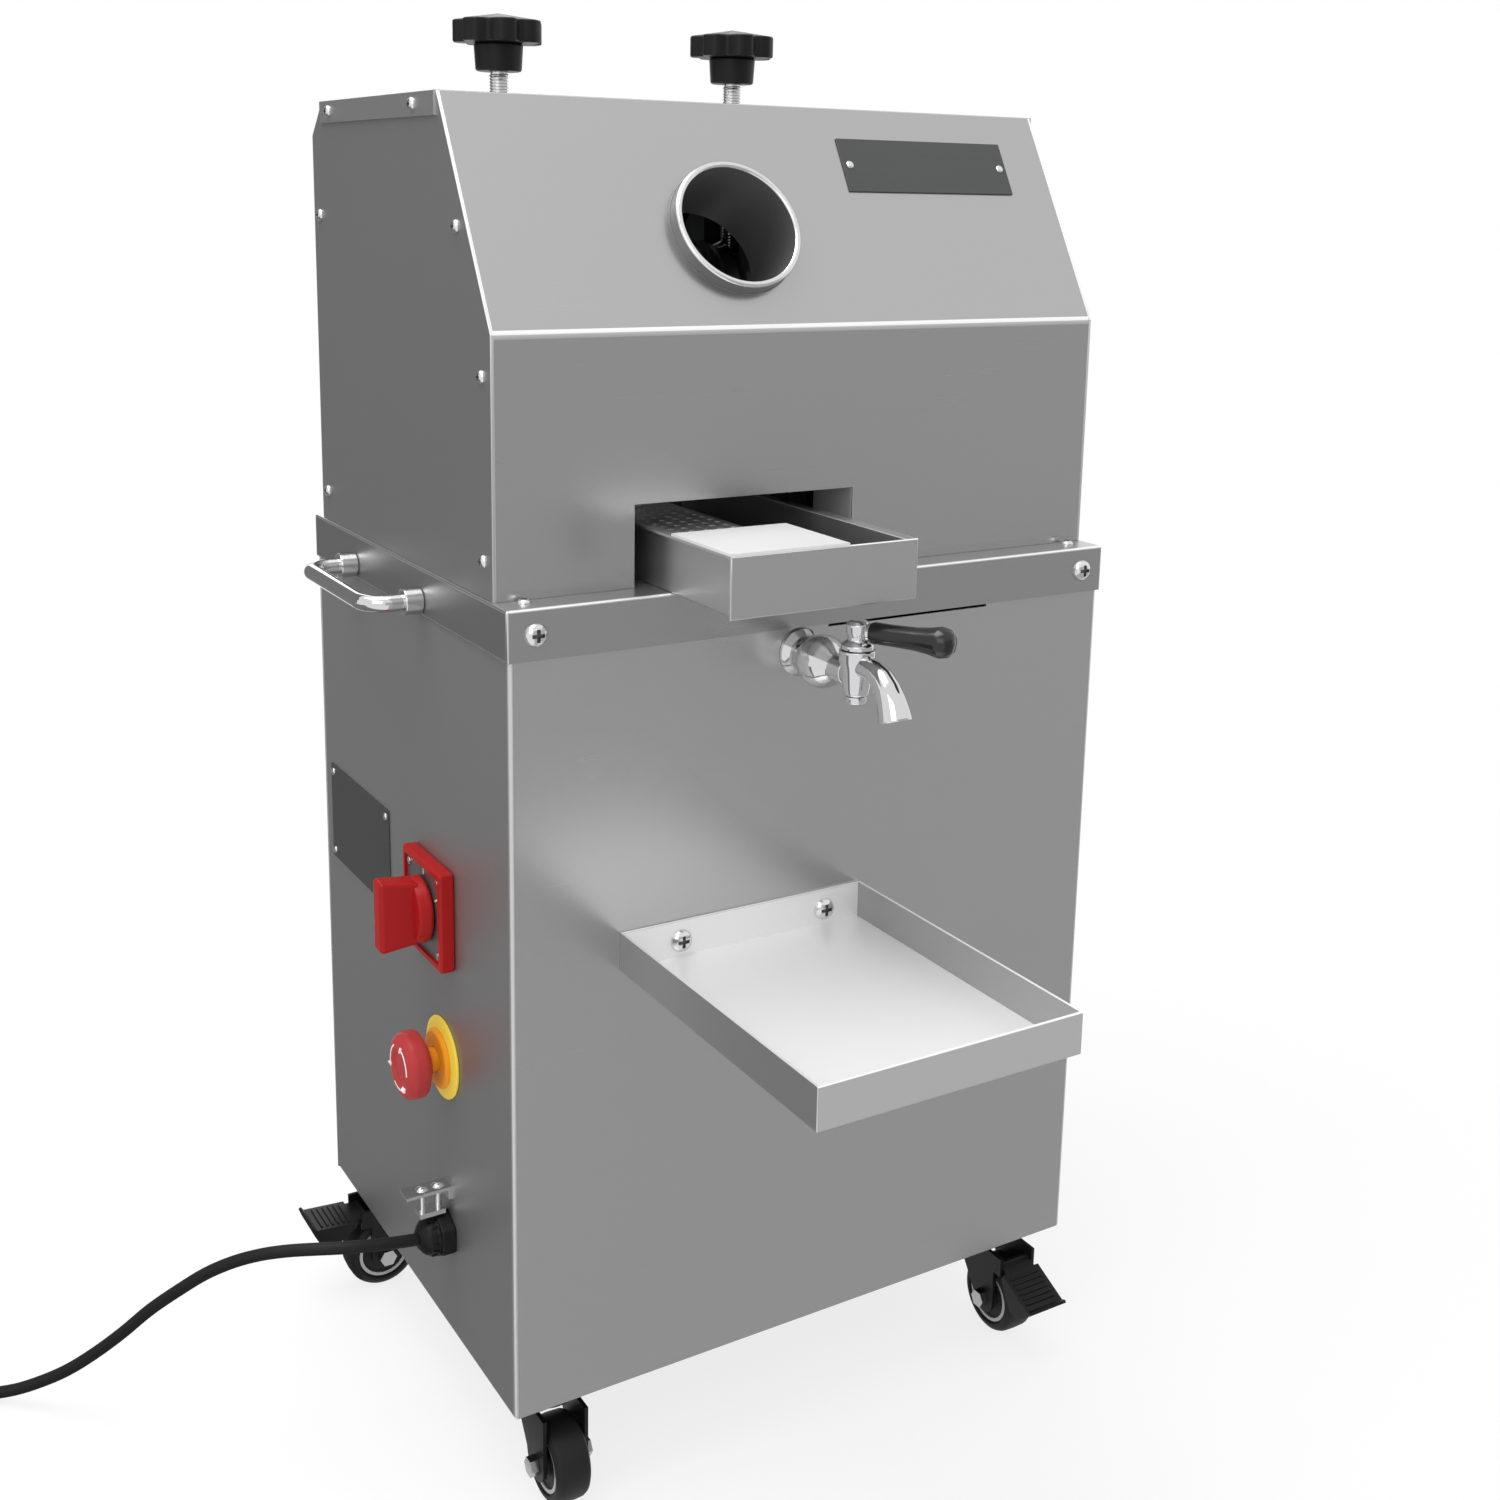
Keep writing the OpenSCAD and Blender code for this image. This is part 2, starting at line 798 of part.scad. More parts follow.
hood_screw_points = concat(
    [for (s = front_screw_shares) along_edge(0, s, hood_screw_in)],
    [for (s = lean_screw_shares) along_edge(1, s, hood_screw_in)],
    [for (s = back_screw_shares) along_edge(4, s, hood_screw_in)]
);
strip_screw_points = [for (s = strip_screw_shares) along_edge(2, s, strip_screw_in)];

// Pan screws of the hood, top plate and back panel, and the rivets of the two bare plates
module panel_screws() {
    color(bright) {
        for (p = hood_screw_points) {
            translate([left_x, p[0], p[1]]) rotate([0, -90, 0]) dome_head(screw_d, screw_t);
            translate([right_x, p[0], p[1]]) rotate([0, 90, 0]) dome_head(screw_d, screw_t);
        }
        for (p = strip_screw_points) {
            translate([left_x - sheet_t, p[0], p[1]]) rotate([0, -90, 0]) dome_head(screw_d, screw_t);
            translate([right_x + sheet_t, p[0], p[1]]) rotate([0, 90, 0]) dome_head(screw_d, screw_t);
        }
        for (x = [left_x + deck_screw_in, right_x - deck_screw_in])
            translate([x, front_y + deck_screw_y, deck_z]) dome_head(screw_d, screw_t);
        for (x = [left_x + back_screw_in, right_x - back_screw_in], s = panel_screw_shares)
            translate([x, back_y, base_z + s * (cab_h - skirt_h)])
                rotate([-90, 0, 0]) dome_head(screw_d, screw_t);
        for (x = [rivet_in, name_w - rivet_in])
            on_slant(left_x + name_x + x, name_up) translate([0, 0, plate_t]) dome_head(rivet_d, rivet_t);
        for (y = [rivet_in, data_w - rivet_in], z = [rivet_in, data_h - rivet_in])
            on_left(data_y + y, data_z + z) translate([0, 0, plate_t]) dome_head(rivet_d, rivet_t);
    }
}

// Thick plate of the mill with its bushed bores and the open window of the sliding block
module mill_cheek(x, foot_side) {
    y0 = mill_top[0] - cheek_d / 2;
    y1 = mill_top[0] + cheek_d / 2;
    top = deck_z + cheek_h - bridge_h;
    window = block_w / 2 + slide_gap;
    foot_x = foot_side < 0 ? x - cheek_t / 2 - foot_w : x + cheek_t / 2;
    color(iron) {
        difference() {
            prism_x(x - cheek_t / 2, x + cheek_t / 2, [
                [y0, deck_z], [y1, deck_z], [y1, top - cheek_shoulder], [y1 - cheek_shoulder, top],
                [y0 + cheek_shoulder, top], [y0, top - cheek_shoulder]
            ]);
            span([x - cheek_t / 2 - over, mill_top[0] - window, mill_top[1] - window],
                 [x + cheek_t / 2 + over, mill_top[0] + window, top + over]);
            for (axis = [mill_feed, mill_rear])
                bar_x(bush_d + 2 * weld_gap, x - cheek_t / 2 - over, x + cheek_t / 2 + over, axis);
        }
        span([foot_x, y0, deck_z], [foot_x + foot_w, y1, deck_z + foot_t]);
    }
}

module mill_cheek_left() {
    mill_cheek(cheek_xs[0], -1);
}

module mill_cheek_right() {
    mill_cheek(cheek_xs[1], 1);
}

// Bars across the cheeks' windows, threaded for the pressure screws
module mill_bridges() {
    y0 = mill_top[0] - cheek_d / 2 + cheek_shoulder;
    y1 = mill_top[0] + cheek_d / 2 - cheek_shoulder;
    color(iron) for (x = cheek_xs) difference() {
        span([x - stud_d, y0, bridge_z], [x + stud_d, y1, bridge_z + bridge_h]);
        bar_z(stud_d + 2 * run_gap, bridge_z - over, bridge_z + bridge_h + over, [x, mill_top[0]]);
    }
}

// Bronze bushes of the two lower rollers
module lower_bushes() {
    color([0.70, 0.55, 0.30]) for (x = cheek_xs, axis = [mill_feed, mill_rear]) difference() {
        bar_x(bush_d, x - cheek_t / 2, x + cheek_t / 2, axis);
        bar_x(shaft_d + 2 * run_gap, x - cheek_t / 2 - over, x + cheek_t / 2 + over, axis);
    }
}

// Tray between the cheeks that leads the juice to the drawer
module juice_pan() {
    z = mill_feed[1] - roller_d / 2 - pan_drop;
    y0 = mill_top[0] - cheek_d / 2;
    y1 = mill_top[0] + cheek_d / 2;
    color(steel) difference() {
        span([cheek_in_l, y0, z], [cheek_in_r, y1, z + pan_h]);
        span([cheek_in_l + sheet_t, y0 + sheet_t, z + sheet_t],
             [cheek_in_r - sheet_t, y1 - sheet_t, z + pan_h + over]);
        translate([mill_mid - pan_slot_w / 2, mill_feed[0] - pan_slot_l / 2, z - over])
            cube([pan_slot_w, pan_slot_l, sheet_t + 2 * over]);
    }
}

// Tank under the top plate, emptied by the tap
module juice_tank() {
    x0 = mill_mid - tank_w / 2;
    top = deck_z - sheet_t;
    color(steel) difference() {
        span([x0, tank_y, top - tank_h], [x0 + tank_w, tank_y + tank_l, top]);
        span([x0 + sheet_t, tank_y + sheet_t, top - tank_h + sheet_t],
             [x0 + tank_w - sheet_t, tank_y + tank_l - sheet_t, top + over]);
        bar_y(tap_pipe_d + 2 * weld_gap, tank_y - over, tank_y + sheet_t + over,
              [left_x + tap_x, tap_z]);
    }
}

// Worm gearbox that stands on the top plate beside the mill
module gearbox() {
    y0 = motor_y - gearbox_d / 2;
    top = mill_rear[1] + gearbox_top;
    boss_r = gearbox_boss_d / 2;
    color(iron) difference() {
        union() {
            span([gearbox_x + gearbox_boss_t, y0, deck_z],
                 [gearbox_x + gearbox_w, mill_rear[0] + boss_r, mill_rear[1] + boss_r]);
            bar_x(gearbox_boss_d, gearbox_x, gearbox_x + gearbox_w, mill_rear);
            bar_z(motor_spigot_d, deck_z, top, [motor_x, motor_y]);
        }
        bar_x(stub_d + 2 * run_gap, gearbox_x - over, gearbox_x + output_stub + over, mill_rear);
    }
}

// Flanged motor that hangs under the top plate
module motor() {
    top = deck_z - sheet_t;
    low = top - motor_flange_t - motor_l;
    axis = [motor_x, motor_y];
    color(iron) {
        bar_z(motor_flange_d, top - motor_flange_t, top, axis);
        bar_z(motor_spigot_d, top, deck_z, axis);
        bar_z(motor_d - 2 * fin_h, low, top - motor_flange_t, axis);
        for (i = [0 : motor_fins - 1])
            translate([motor_x, motor_y, low + cowl_l]) rotate([0, 0, i * 360 / motor_fins])
                translate([motor_d / 2 - 2 * fin_h, -fin_t / 2, 0])
                    cube([2 * fin_h, fin_t, motor_l - cowl_l]);
        bar_z(motor_d, low - fin_h, low + cowl_l, axis);
    }
}

// Tap body: flange, pipe into the tank with its swelling, tapered plug housing and bent spout
module tap_body() {
    x = left_x + tap_x;
    z = tap_z;
    plug_y = front_y - tap_reach;
    ball_y = front_y - tap_ball_out;
    spout_z = z + tap_spout_rise;
    bend_y = plug_y - tap_spout_run;
    color(bright) {
        difference() {
            union() {
                bar_y(tap_flange_d, front_y - tap_flange_t, front_y, [x, z]);
                bar_y(tap_pipe_d, ball_y, tank_y + tap_inside, [x, z]);
                translate([x, ball_y, z]) sphere(d = tap_ball_d);
                bar_y(tap_neck_d, plug_y, ball_y, [x, z]);
                translate([x, plug_y, z - tap_house_low])
                    cylinder(h = tap_house_low + tap_house_high, d1 = tap_house_low_d, d2 = tap_house_d);
                bar_y(tap_spout_d, bend_y, plug_y, [x, spout_z]);
                translate([x, bend_y, spout_z - tap_bend_r]) rotate([0, -90, 0])
                    rotate_extrude(angle = -90) translate([tap_bend_r, 0]) circle(d = tap_spout_d);
                bar_z(tap_spout_d, spout_z - tap_bend_r - tap_outlet, spout_z - tap_bend_r,
                      [x, bend_y - tap_bend_r]);
            }
            bar_z(tap_plug_d + 2 * run_gap, z - tap_house_low - over, z + tap_house_high + over,
                  [x, plug_y]);
            bar_z(tap_spout_bore, spout_z - tap_bend_r - tap_outlet - over, spout_z - tap_bend_r,
                  [x, bend_y - tap_bend_r]);
        }
        translate([x, tank_y + sheet_t, z]) rotate([-90, 0, 0]) difference() {
            cylinder(h = tap_nut_w, d = tap_nut_d, $fn = 6);
            translate([0, 0, -over]) cylinder(h = tap_nut_w + 2 * over, d = tap_pipe_d + 2 * weld_gap);
        }
    }
}

// Turning plug of the tap with its cap, tail nut and lever arm
module tap_plug() {
    z = tap_z;
    cap_z = z + tap_house_high + slide_gap;
    tail_z = z - tap_house_low - slide_gap;
    color(bright) translate([left_x + tap_x, front_y - tap_reach, 0]) {
        translate([0, 0, tail_z - tap_tail_h]) cylinder(h = cap_z - tail_z + tap_tail_h, d = tap_plug_d);
        translate([0, 0, cap_z]) cylinder(h = tap_cap_h, d = tap_cap_d);
        translate([0, 0, tail_z - tap_tail_h]) cylinder(h = tap_tail_h, d = tap_tail_d, $fn = 6);
        translate([0, 0, cap_z]) cylinder(h = tap_cap_h + tap_boss_h, d = tap_boss_d);
        translate([0, 0, cap_z + tap_cap_h + tap_boss_h / 2]) rotate([90, 0, lever_turn])
            cylinder(h = tap_arm_l, d = tap_arm_d);
    }
}

// Black grip on the lever arm, swelling to a round end
module tap_grip() {
    z = tap_z + tap_house_high + slide_gap + tap_cap_h + tap_boss_h / 2;
    color(black) translate([left_x + tap_x, front_y - tap_reach, z]) rotate([0, 0, lever_turn])
        rotate([90, 0, 0]) translate([0, 0, grip_start]) difference() {
            union() {
                cylinder(h = grip_l - grip_end_d / 2, d1 = grip_d, d2 = grip_end_d);
                translate([0, 0, grip_l - grip_end_d / 2]) sphere(d = grip_end_d);
            }
            translate([0, 0, -over])
                cylinder(h = tap_arm_l - grip_start + over + weld_gap, d = tap_arm_d + 2 * weld_gap);
        }
}

// Square plate of the reversing switch, with its contact block inside the cabinet
module switch_plate() {
    color(red) on_left(switch_y, switch_z) difference() {
        union() {
            translate([-switch_w / 2, -switch_w / 2, 0]) cube([switch_w, switch_w, switch_plate_t]);
            translate([0, 0, -sheet_t]) cylinder(h = sheet_t, d = switch_shaft_d + slide_gap);
            translate([-switch_body_w / 2, -switch_body_w / 2, -sheet_t - switch_body_l])
                cube([switch_body_w, switch_body_w, switch_body_l]);
        }
        translate([0, 0, switch_plate_t / 2])
            cylinder(h = switch_plate_t, d = switch_shaft_d + 2 * run_gap);
    }
}

// Red bar knob of the switch
module switch_knob() {
    color(red) on_left(switch_y, switch_z) translate([0, 0, switch_plate_t + slide_gap]) {
        translate([0, 0, slide_gap - switch_plate_t / 2])
            cylinder(h = switch_plate_t / 2, d = switch_shaft_d);
        cylinder(h = switch_hub_t, d = switch_hub_d);
        translate([-switch_bar_w / 2, -switch_bar_l / 2, 0])
            cube([switch_bar_w, switch_bar_l, switch_knob_out - switch_plate_t - slide_gap]);
    }
}

// Yellow disc and collar of the stop button, with its contact block inside the cabinet
module estop_collar() {
    color(yellow) on_left(estop_y, estop_z) difference() {
        union() {
            cylinder(h = estop_disc_t, d = estop_disc_d);
            cylinder(h = estop_ring_t, d = estop_ring_d);
            translate([0, 0, -sheet_t]) cylinder(h = sheet_t, d = estop_neck_d);
            translate([-estop_body_w / 2, -estop_body_w / 2, -sheet_t - estop_body_l])
                cube([estop_body_w, estop_body_w, estop_body_l]);
        }
        translate([0, 0, -estop_bore_l])
            cylinder(h = estop_bore_l + estop_ring_t + over, d = estop_stem_d + 2 * run_gap);
    }
}

// Sliding stem of the stop button
module estop_stem() {
    low = estop_travel + slide_gap - estop_bore_l;
    color(yellow) on_left(estop_y, estop_z) {
        translate([0, 0, low])
            cylinder(h = estop_ring_t + estop_travel + estop_neck_l - low, d = estop_stem_d);
    }
}

// Red mushroom head, which turns on the stem to let it out again
module estop_head() {
    low = estop_ring_t + estop_travel + slide_gap;
    color(red) on_left(estop_y, estop_z) difference() {
        union() {
            translate([0, 0, low]) cylinder(h = estop_neck_l, d1 = estop_neck_d, d2 = estop_d);
            translate([0, 0, low + estop_neck_l])
                cylinder(h = estop_cap_l - estop_neck_l - estop_dome, d = estop_d);
            translate([0, 0, low + estop_cap_l - estop_dome]) dome_head(estop_d, estop_dome);
        }
        translate([0, 0, low - over])
            cylinder(h = estop_neck_l + over, d = estop_stem_d + 2 * run_gap);
    }
}

// Cable gland: hexagon, tapered dome and lock nut inside
module cable_gland() {
    color(black) on_left(gland_y, gland_z) {
        cylinder(h = gland_hex_l, d = gland_hex_d, $fn = 6);
        translate([0, 0, gland_hex_l])
            cylinder(h = gland_out - gland_hex_l, d1 = gland_dome_d, d2 = gland_tip_d);
        translate([0, 0, -sheet_t - gland_nut_l]) cylinder(h = sheet_t + gland_nut_l, d = gland_dome_d);
        translate([0, 0, -sheet_t - gland_nut_l]) cylinder(h = gland_nut_l, d = gland_hex_d, $fn = 6);
    }
}

// Bracket over the gland with two screws down on to a saddle
module cord_clamp() {
    saddle_z = gland_hex_d / 2 + slide_gap;
    color(bright) on_left(gland_y, gland_z) {
        translate([-clamp_w / 2, clamp_up, 0]) cube([clamp_w, clamp_t, clamp_l]);
        translate([-clamp_w / 2, clamp_up + clamp_t - clamp_foot, 0])
            cube([clamp_w, clamp_foot, clamp_t]);
        for (x = clamp_screw_xs) translate([0, clamp_up + clamp_t, x]) rotate([90, 0, 0]) {
            cylinder(h = clamp_up + clamp_t - saddle_z - saddle_t / 2, d = clamp_screw_d);
            rotate([180, 0, 0]) dome_head(2 * clamp_screw_d, clamp_screw_d / 2);
        }
        translate([-saddle_w / 2, saddle_z, (clamp_screw_xs[0] + clamp_screw_xs[1] - saddle_l) / 2])
            cube([saddle_w, saddle_t, saddle_l]);
    }
}

// Tube swept along a path of points, its rings square to the path
function tangent(path, i) =
    unit(path[min(i + 1, len(path) - 1)] - path[max(i - 1, 0)]);
function ring_side(t) = unit(cross(t, [0, 0, 1]));
function ring(path, i, r, sides) =
    let (t = tangent(path, i), a = ring_side(t), b = cross(a, t))
    [for (k = [0 : sides - 1]) path[i] + r * (cos(360 * k / sides) * a + sin(360 * k / sides) * b)];

module swept_tube(path, d, sides) {
    n = len(path);
    points = [for (i = [0 : n - 1]) each ring(path, i, d / 2, sides)];
    walls = [
        for (i = [0 : n - 2], k = [0 : sides - 1])
            let (a = i * sides + k, b = i * sides + (k + 1) % sides)
            each [[a, b, b + sides], [a, b + sides, a + sides]]
    ];
    first_cap = [for (k = [1 : sides - 2]) [0, k + 1, k]];
    last_cap = [for (k = [1 : sides - 2]) [(n - 1) * sides, (n - 1) * sides + k, (n - 1) * sides + k + 1]];
    polyhedron(points = points, faces = concat(walls, first_cap, last_cap), convexity = 10);
}

// The cord's points in the part's frame
cord_origin = [left_x, front_y, 0];
cord_points = [for (p = cord_route) p + cord_origin];

// One coil of two layers: in along the floor, up in the half turn at the inside, and out on top
coil_step = cord_d + coil_gap;
coil_middle = coil_total / 2;
climb_share = 0.25;
function coil_radius(t) = coil_out_r - coil_step * min(t, coil_total - t);
function coil_height(t) =
    coil_low_z + coil_step * min(max((t - coil_middle + climb_share) / (2 * climb_share), 0), 1);
function coil_point(t) =
    let (a = -90 - 360 * t)
    [coil_mid[0] + coil_radius(t) * cos(a), coil_mid[1] + coil_radius(t) * sin(a), coil_height(t)]
    + cord_origin;
coil_rings = coil_ring_count * coil_total;
coil_start = [cord_points[len(cord_points) - 1]];
coil_turn_points = [for (i = [1 : coil_rings]) coil_point(i / coil_ring_count)];
coil_last = coil_turn_points[len(coil_turn_points) - 1];
coil_end = coil_last + [-coil_tail, 0, 0];
coil_points = concat(coil_start, coil_turn_points, [(coil_last + coil_end) / 2, coil_end]);

// Least gap between turns of the coil, measured on its points
coil_gaps = [
    for (i = [0 : len(coil_points) - 1], j = [i + coil_ring_count / 2 : len(coil_points) - 1])
        norm(coil_points[i] - coil_points[j]) - cord_d
];
echo(least_coil_gap = min(coil_gaps));

module mains_cord() {
    color(black) swept_tube(cord_points, cord_d, cord_sides);
}

module cord_coil() {
    color(black) swept_tube(coil_points, cord_d, coil_sides);
}

// Moulded plug with two round pins, lying at the end of the coil
module mains_plug() {
    color(black) translate(coil_end) rotate([0, -90, 0]) {
        cylinder(h = plug_neck_l, d1 = gland_tip_d, d2 = plug_d - cord_d / 2);
        translate([0, 0, plug_neck_l]) cylinder(h = plug_l - plug_neck_l, d = plug_d);
        for (side = [-1, 1]) translate([0, side * pin_pitch / 2, plug_l]) cylinder(h = pin_l, d = pin_d);
    }
}

// Fixed plates of the castors with their bearing cups and pivots
module caster_plates() {
    plate_z = caster_h - caster_plate_t;
    color(iron) for (x = [caster_left_x, caster_right_x], y = [caster_front_y, caster_back_y])
        translate([x, y, 0]) {
            translate([-caster_plate_w / 2, -caster_plate_d / 2, plate_z])
                cube([caster_plate_w, caster_plate_d, caster_plate_t]);
            translate([0, 0, plate_z - cup_t]) cylinder(h = cup_t, d = cup_d);
            translate([0, 0, fork_top_z - fork_top_t - slide_gap - pivot_head_t])
                cylinder(h = caster_h - fork_top_z + fork_top_t + pivot_head_t, d = pivot_d);
            translate([0, 0, fork_top_z - fork_top_t - slide_gap - pivot_head_t])
                cylinder(h = pivot_head_t, d = pivot_head_d);
        }
}

// Castor fork in its own axes: the wheel trails along +X; its axle bolt is a solid of its own.
// A braked one has ears for the pedal's pin.
module caster_fork(braked) {
    ear_t = pedal_pivot_t + pedal_pin_d;
    ear_z = pedal_pivot_z - pedal_pin_d;
    leg = [
        [-fork_front, fork_top_z - fork_top_t], [trail + fork_eye_d / 2, fork_top_z - fork_top_t],
        [trail + fork_eye_d / 2, wheel_r], [trail - fork_eye_d / 2, wheel_r]
    ];
    ear = [[trail, fork_top_z], [ear_t, fork_top_z], [ear_t, ear_z], [trail, ear_z]];
    color(black) difference() {
        union() {
            translate([-fork_front, -fork_outer_w / 2, fork_top_z - fork_top_t])
                cube([fork_front + trail, fork_outer_w, fork_top_t]);
            translate([0, 0, fork_top_z - fork_top_t]) cylinder(h = fork_top_t, d = cup_d);
            for (y = [-fork_outer_w / 2, fork_inner_w / 2]) translate([0, y + fork_leg_t, 0])
                rotate([90, 0, 0]) linear_extrude(height = fork_leg_t) {
                    polygon(leg);
                    if (braked) polygon(ear);
                    translate([trail, wheel_r]) circle(d = fork_eye_d);
                }
        }
        translate([0, 0, fork_top_z - fork_top_t - over])
            cylinder(h = fork_top_t + 2 * over, d = pivot_d + 2 * run_gap);
        bar_y(axle_d + 2 * weld_gap, -fork_outer_w, fork_outer_w, [trail, wheel_r]);
        if (braked)
            bar_y(pedal_pin_d + 2 * run_gap, -fork_outer_w, fork_outer_w, [pedal_pivot_t, pedal_pivot_z]);
    }
    nut_y = fork_outer_w / 2 + weld_gap + axle_nut_t / 2;
    color(bright) {
        bar_y(axle_d, -fork_outer_w / 2 - axle_nut_t, fork_outer_w / 2 + axle_nut_t, [trail, wheel_r]);
        for (side = [-1, 1]) translate([trail, side * nut_y, wheel_r])
            rotate([90, 0, 0]) cylinder(h = axle_nut_t, d = axle_nut_d, center = true, $fn = 6);
    }
}

// Castor wheel in the fork's axes, with dished hubs
module caster_wheel() {
    color(black) translate([trail, 0, wheel_r]) rotate([90, 0, 0]) difference() {
        linear_extrude(height = wheel_w, center = true) polygon(tread_points);
        for (side = [-1, 1]) translate([0, 0, side * wheel_w / 2]) difference() {
            cylinder(h = 2 * wheel_hub_in, d = wheel_hub_d, center = true);
            cylinder(h = 2 * wheel_hub_in + over, d = axle_nut_d, center = true);
        }
        cylinder(h = wheel_w + over, d = axle_d + 2 * run_gap, center = true);
    }
}

// Brake pedal on its pin between the fork's ears, raised or pressed down
module brake_pedal(tilt) {
    color(black) translate([pedal_pivot_t, 0, pedal_pivot_z]) rotate([0, -tilt, 0]) {
        bar_y(pedal_pin_d, -fork_outer_w / 2, fork_outer_w / 2, [0, 0]);
        translate([0, -fork_inner_w / 2 + slide_gap, -pedal_t / 2])
            cube([pedal_pin_d + pedal_clear + pedal_t / 2, fork_inner_w - 2 * slide_gap, pedal_t]);
        rotate([90, 0, 0]) linear_extrude(height = pedal_w, center = true) polygon(pedal_outline);
    }
}

// Places its children at a castor, turned to its swivel angle
module at_caster(x, y, turn) {
    translate([x, y, 0]) rotate([0, 0, turn]) children();
}

module caster_fork_fl() {
    at_caster(caster_left_x, caster_front_y, caster_turn_fl) caster_fork(false);
}

module caster_fork_fr() {
    at_caster(caster_right_x, caster_front_y, caster_turn_fr) caster_fork(true);
}

module caster_fork_bl() {
    at_caster(caster_left_x, caster_back_y, caster_turn_bl) caster_fork(true);
}

module caster_fork_br() {
    at_caster(caster_right_x, caster_back_y, caster_turn_br) caster_fork(false);
}

module caster_wheel_fl() {
    at_caster(caster_left_x, caster_front_y, caster_turn_fl) caster_wheel();
}

module caster_wheel_fr() {
    at_caster(caster_right_x, caster_front_y, caster_turn_fr) caster_wheel();
}

module caster_wheel_bl() {
    at_caster(caster_left_x, caster_back_y, caster_turn_bl) caster_wheel();
}

module caster_wheel_br() {
    at_caster(caster_right_x, caster_back_y, caster_turn_br) caster_wheel();
}

module brake_pedal_fr() {
    at_caster(caster_right_x, caster_front_y, caster_turn_fr) brake_pedal(pedal_down_tilt);
}

module brake_pedal_bl() {
    at_caster(caster_left_x, caster_back_y, caster_turn_bl) brake_pedal(pedal_up_tilt);
}

// Drawer under the mill: a full-width front, walls set in under the lips of the rim
module juice_drawer() {
    x0 = left_x + drawer_x;
    x1 = x0 + drawer_w;
    end_y = drawer_y + drawer_l;
    z = deck_z + slide_gap;
    color(bright) difference() {
        union() {
            span([x0, drawer_y, z], [x1, drawer_y + sheet_t, z + drawer_h]);
            span([x0 + drawer_lip, drawer_y, z], [x1 - drawer_lip, end_y, z + drawer_h]);
            span([x0, drawer_y, z + drawer_h - sheet_t], [x1, end_y, z + drawer_h]);
        }
        span([x0 + drawer_lip + sheet_t, drawer_y + sheet_t, z + sheet_t],
             [x1 - drawer_lip - sheet_t, end_y - sheet_t, z + drawer_h + over]);
        bar_z(drain_d, z - over, z + sheet_t + over, [mill_mid, drain_y]);
    }
}

// Strainer hung in the drawer: a plain plate on the rim at the front, then lower and drilled
// under the rollers, and up again on to the rim at the back
module drawer_strainer() {
    x0 = left_x + drawer_x;
    x1 = x0 + drawer_w * strainer_cover_share;
    in_x = x0 + drawer_lip + sheet_t + slide_gap;
    fold_y = drawer_y + strainer_front;
    end_y = drawer_y + drawer_l;
    rise_y = end_y - 2 * sheet_t - slide_gap;
    z = deck_z + slide_gap + drawer_h;
    low = z - strainer_dip;
    color(bright) difference() {
        union() {
            span([x0, drawer_y, z], [x1, fold_y, z + sheet_t]);
            span([in_x, fold_y - sheet_t, low], [x1, fold_y, z + sheet_t]);
            span([in_x, fold_y - sheet_t, low], [x1, rise_y + sheet_t, low + sheet_t]);
            span([in_x, rise_y, low], [x1, rise_y + sheet_t, z + sheet_t]);
            span([in_x, rise_y, z], [x1, end_y, z + sheet_t]);
        }
        for (i = [0 : strainer_cols - 1], j = [0 : strainer_rows - 1])
            bar_z(strainer_hole_d, low - over, low + sheet_t + over, [
                (in_x + x1) / 2 + (i - (strainer_cols - 1) / 2) * strainer_pitch,
                drawer_y + strainer_start + j * strainer_pitch
            ]);
    }
}

// Bearing blocks of the top roller, which slide in the cheeks' windows
module top_blocks() {
    color([0.70, 0.55, 0.30]) for (i = [0, 1]) {
        lip_x = i == 0 ? cheek_out_l - slide_gap - block_lip : cheek_out_r + slide_gap;
        body_x0 = i == 0 ? lip_x : cheek_in_r;
        body_x1 = i == 0 ? cheek_in_l : lip_x + block_lip;
        difference() {
            union() {
                span([body_x0, mill_top[0] - block_w / 2, mill_top[1] - block_w / 2],
                     [body_x1, mill_top[0] + block_w / 2, mill_top[1] + block_w / 2]);
                span([lip_x, mill_top[0] - block_w / 2 - block_lip, mill_top[1] - block_w / 2],
                     [lip_x + block_lip, mill_top[0] + block_w / 2 + block_lip, mill_top[1] + block_w / 2]);
            }
            bar_x(shaft_d + 2 * run_gap, body_x0 - over, body_x1 + over, mill_top);
            bar_z(stud_d + 2 * run_gap, screw_bottom - slide_gap, mill_top[1] + block_w,
                  [cheek_xs[i], mill_top[0]]);
        }
    }
}

// Grooved roller with its shaft
module mill_roller(axis, shaft_x1) {
    x0 = cheek_in_l + roller_gap;
    x1 = cheek_in_r - roller_gap;
    pitch = (x1 - x0) / (groove_count + 1);
    color(bright) union() {
        bar_x(shaft_d, cheek_out_l - block_lip - slide_gap - shaft_end, shaft_x1, axis);
        difference() {
            bar_x(roller_d, x0, x1, axis);
            for (i = [1 : groove_count]) translate([x0 + i * pitch, axis[0], axis[1]])
                rotate([0, 90, 0]) difference() {
                    cylinder(h = groove_w, d = roller_d + over, center = true);
                    cylinder(h = groove_w + over, d = roller_d - 2 * groove_h, center = true);
                }
        }
    }
}

module top_roller() {
    mill_roller(mill_top, gear_end + shaft_end);
}

module feed_roller() {
    mill_roller(mill_feed, gear_end + shaft_end);
}

module rear_roller() {
    mill_roller(mill_rear, gear_end);
}

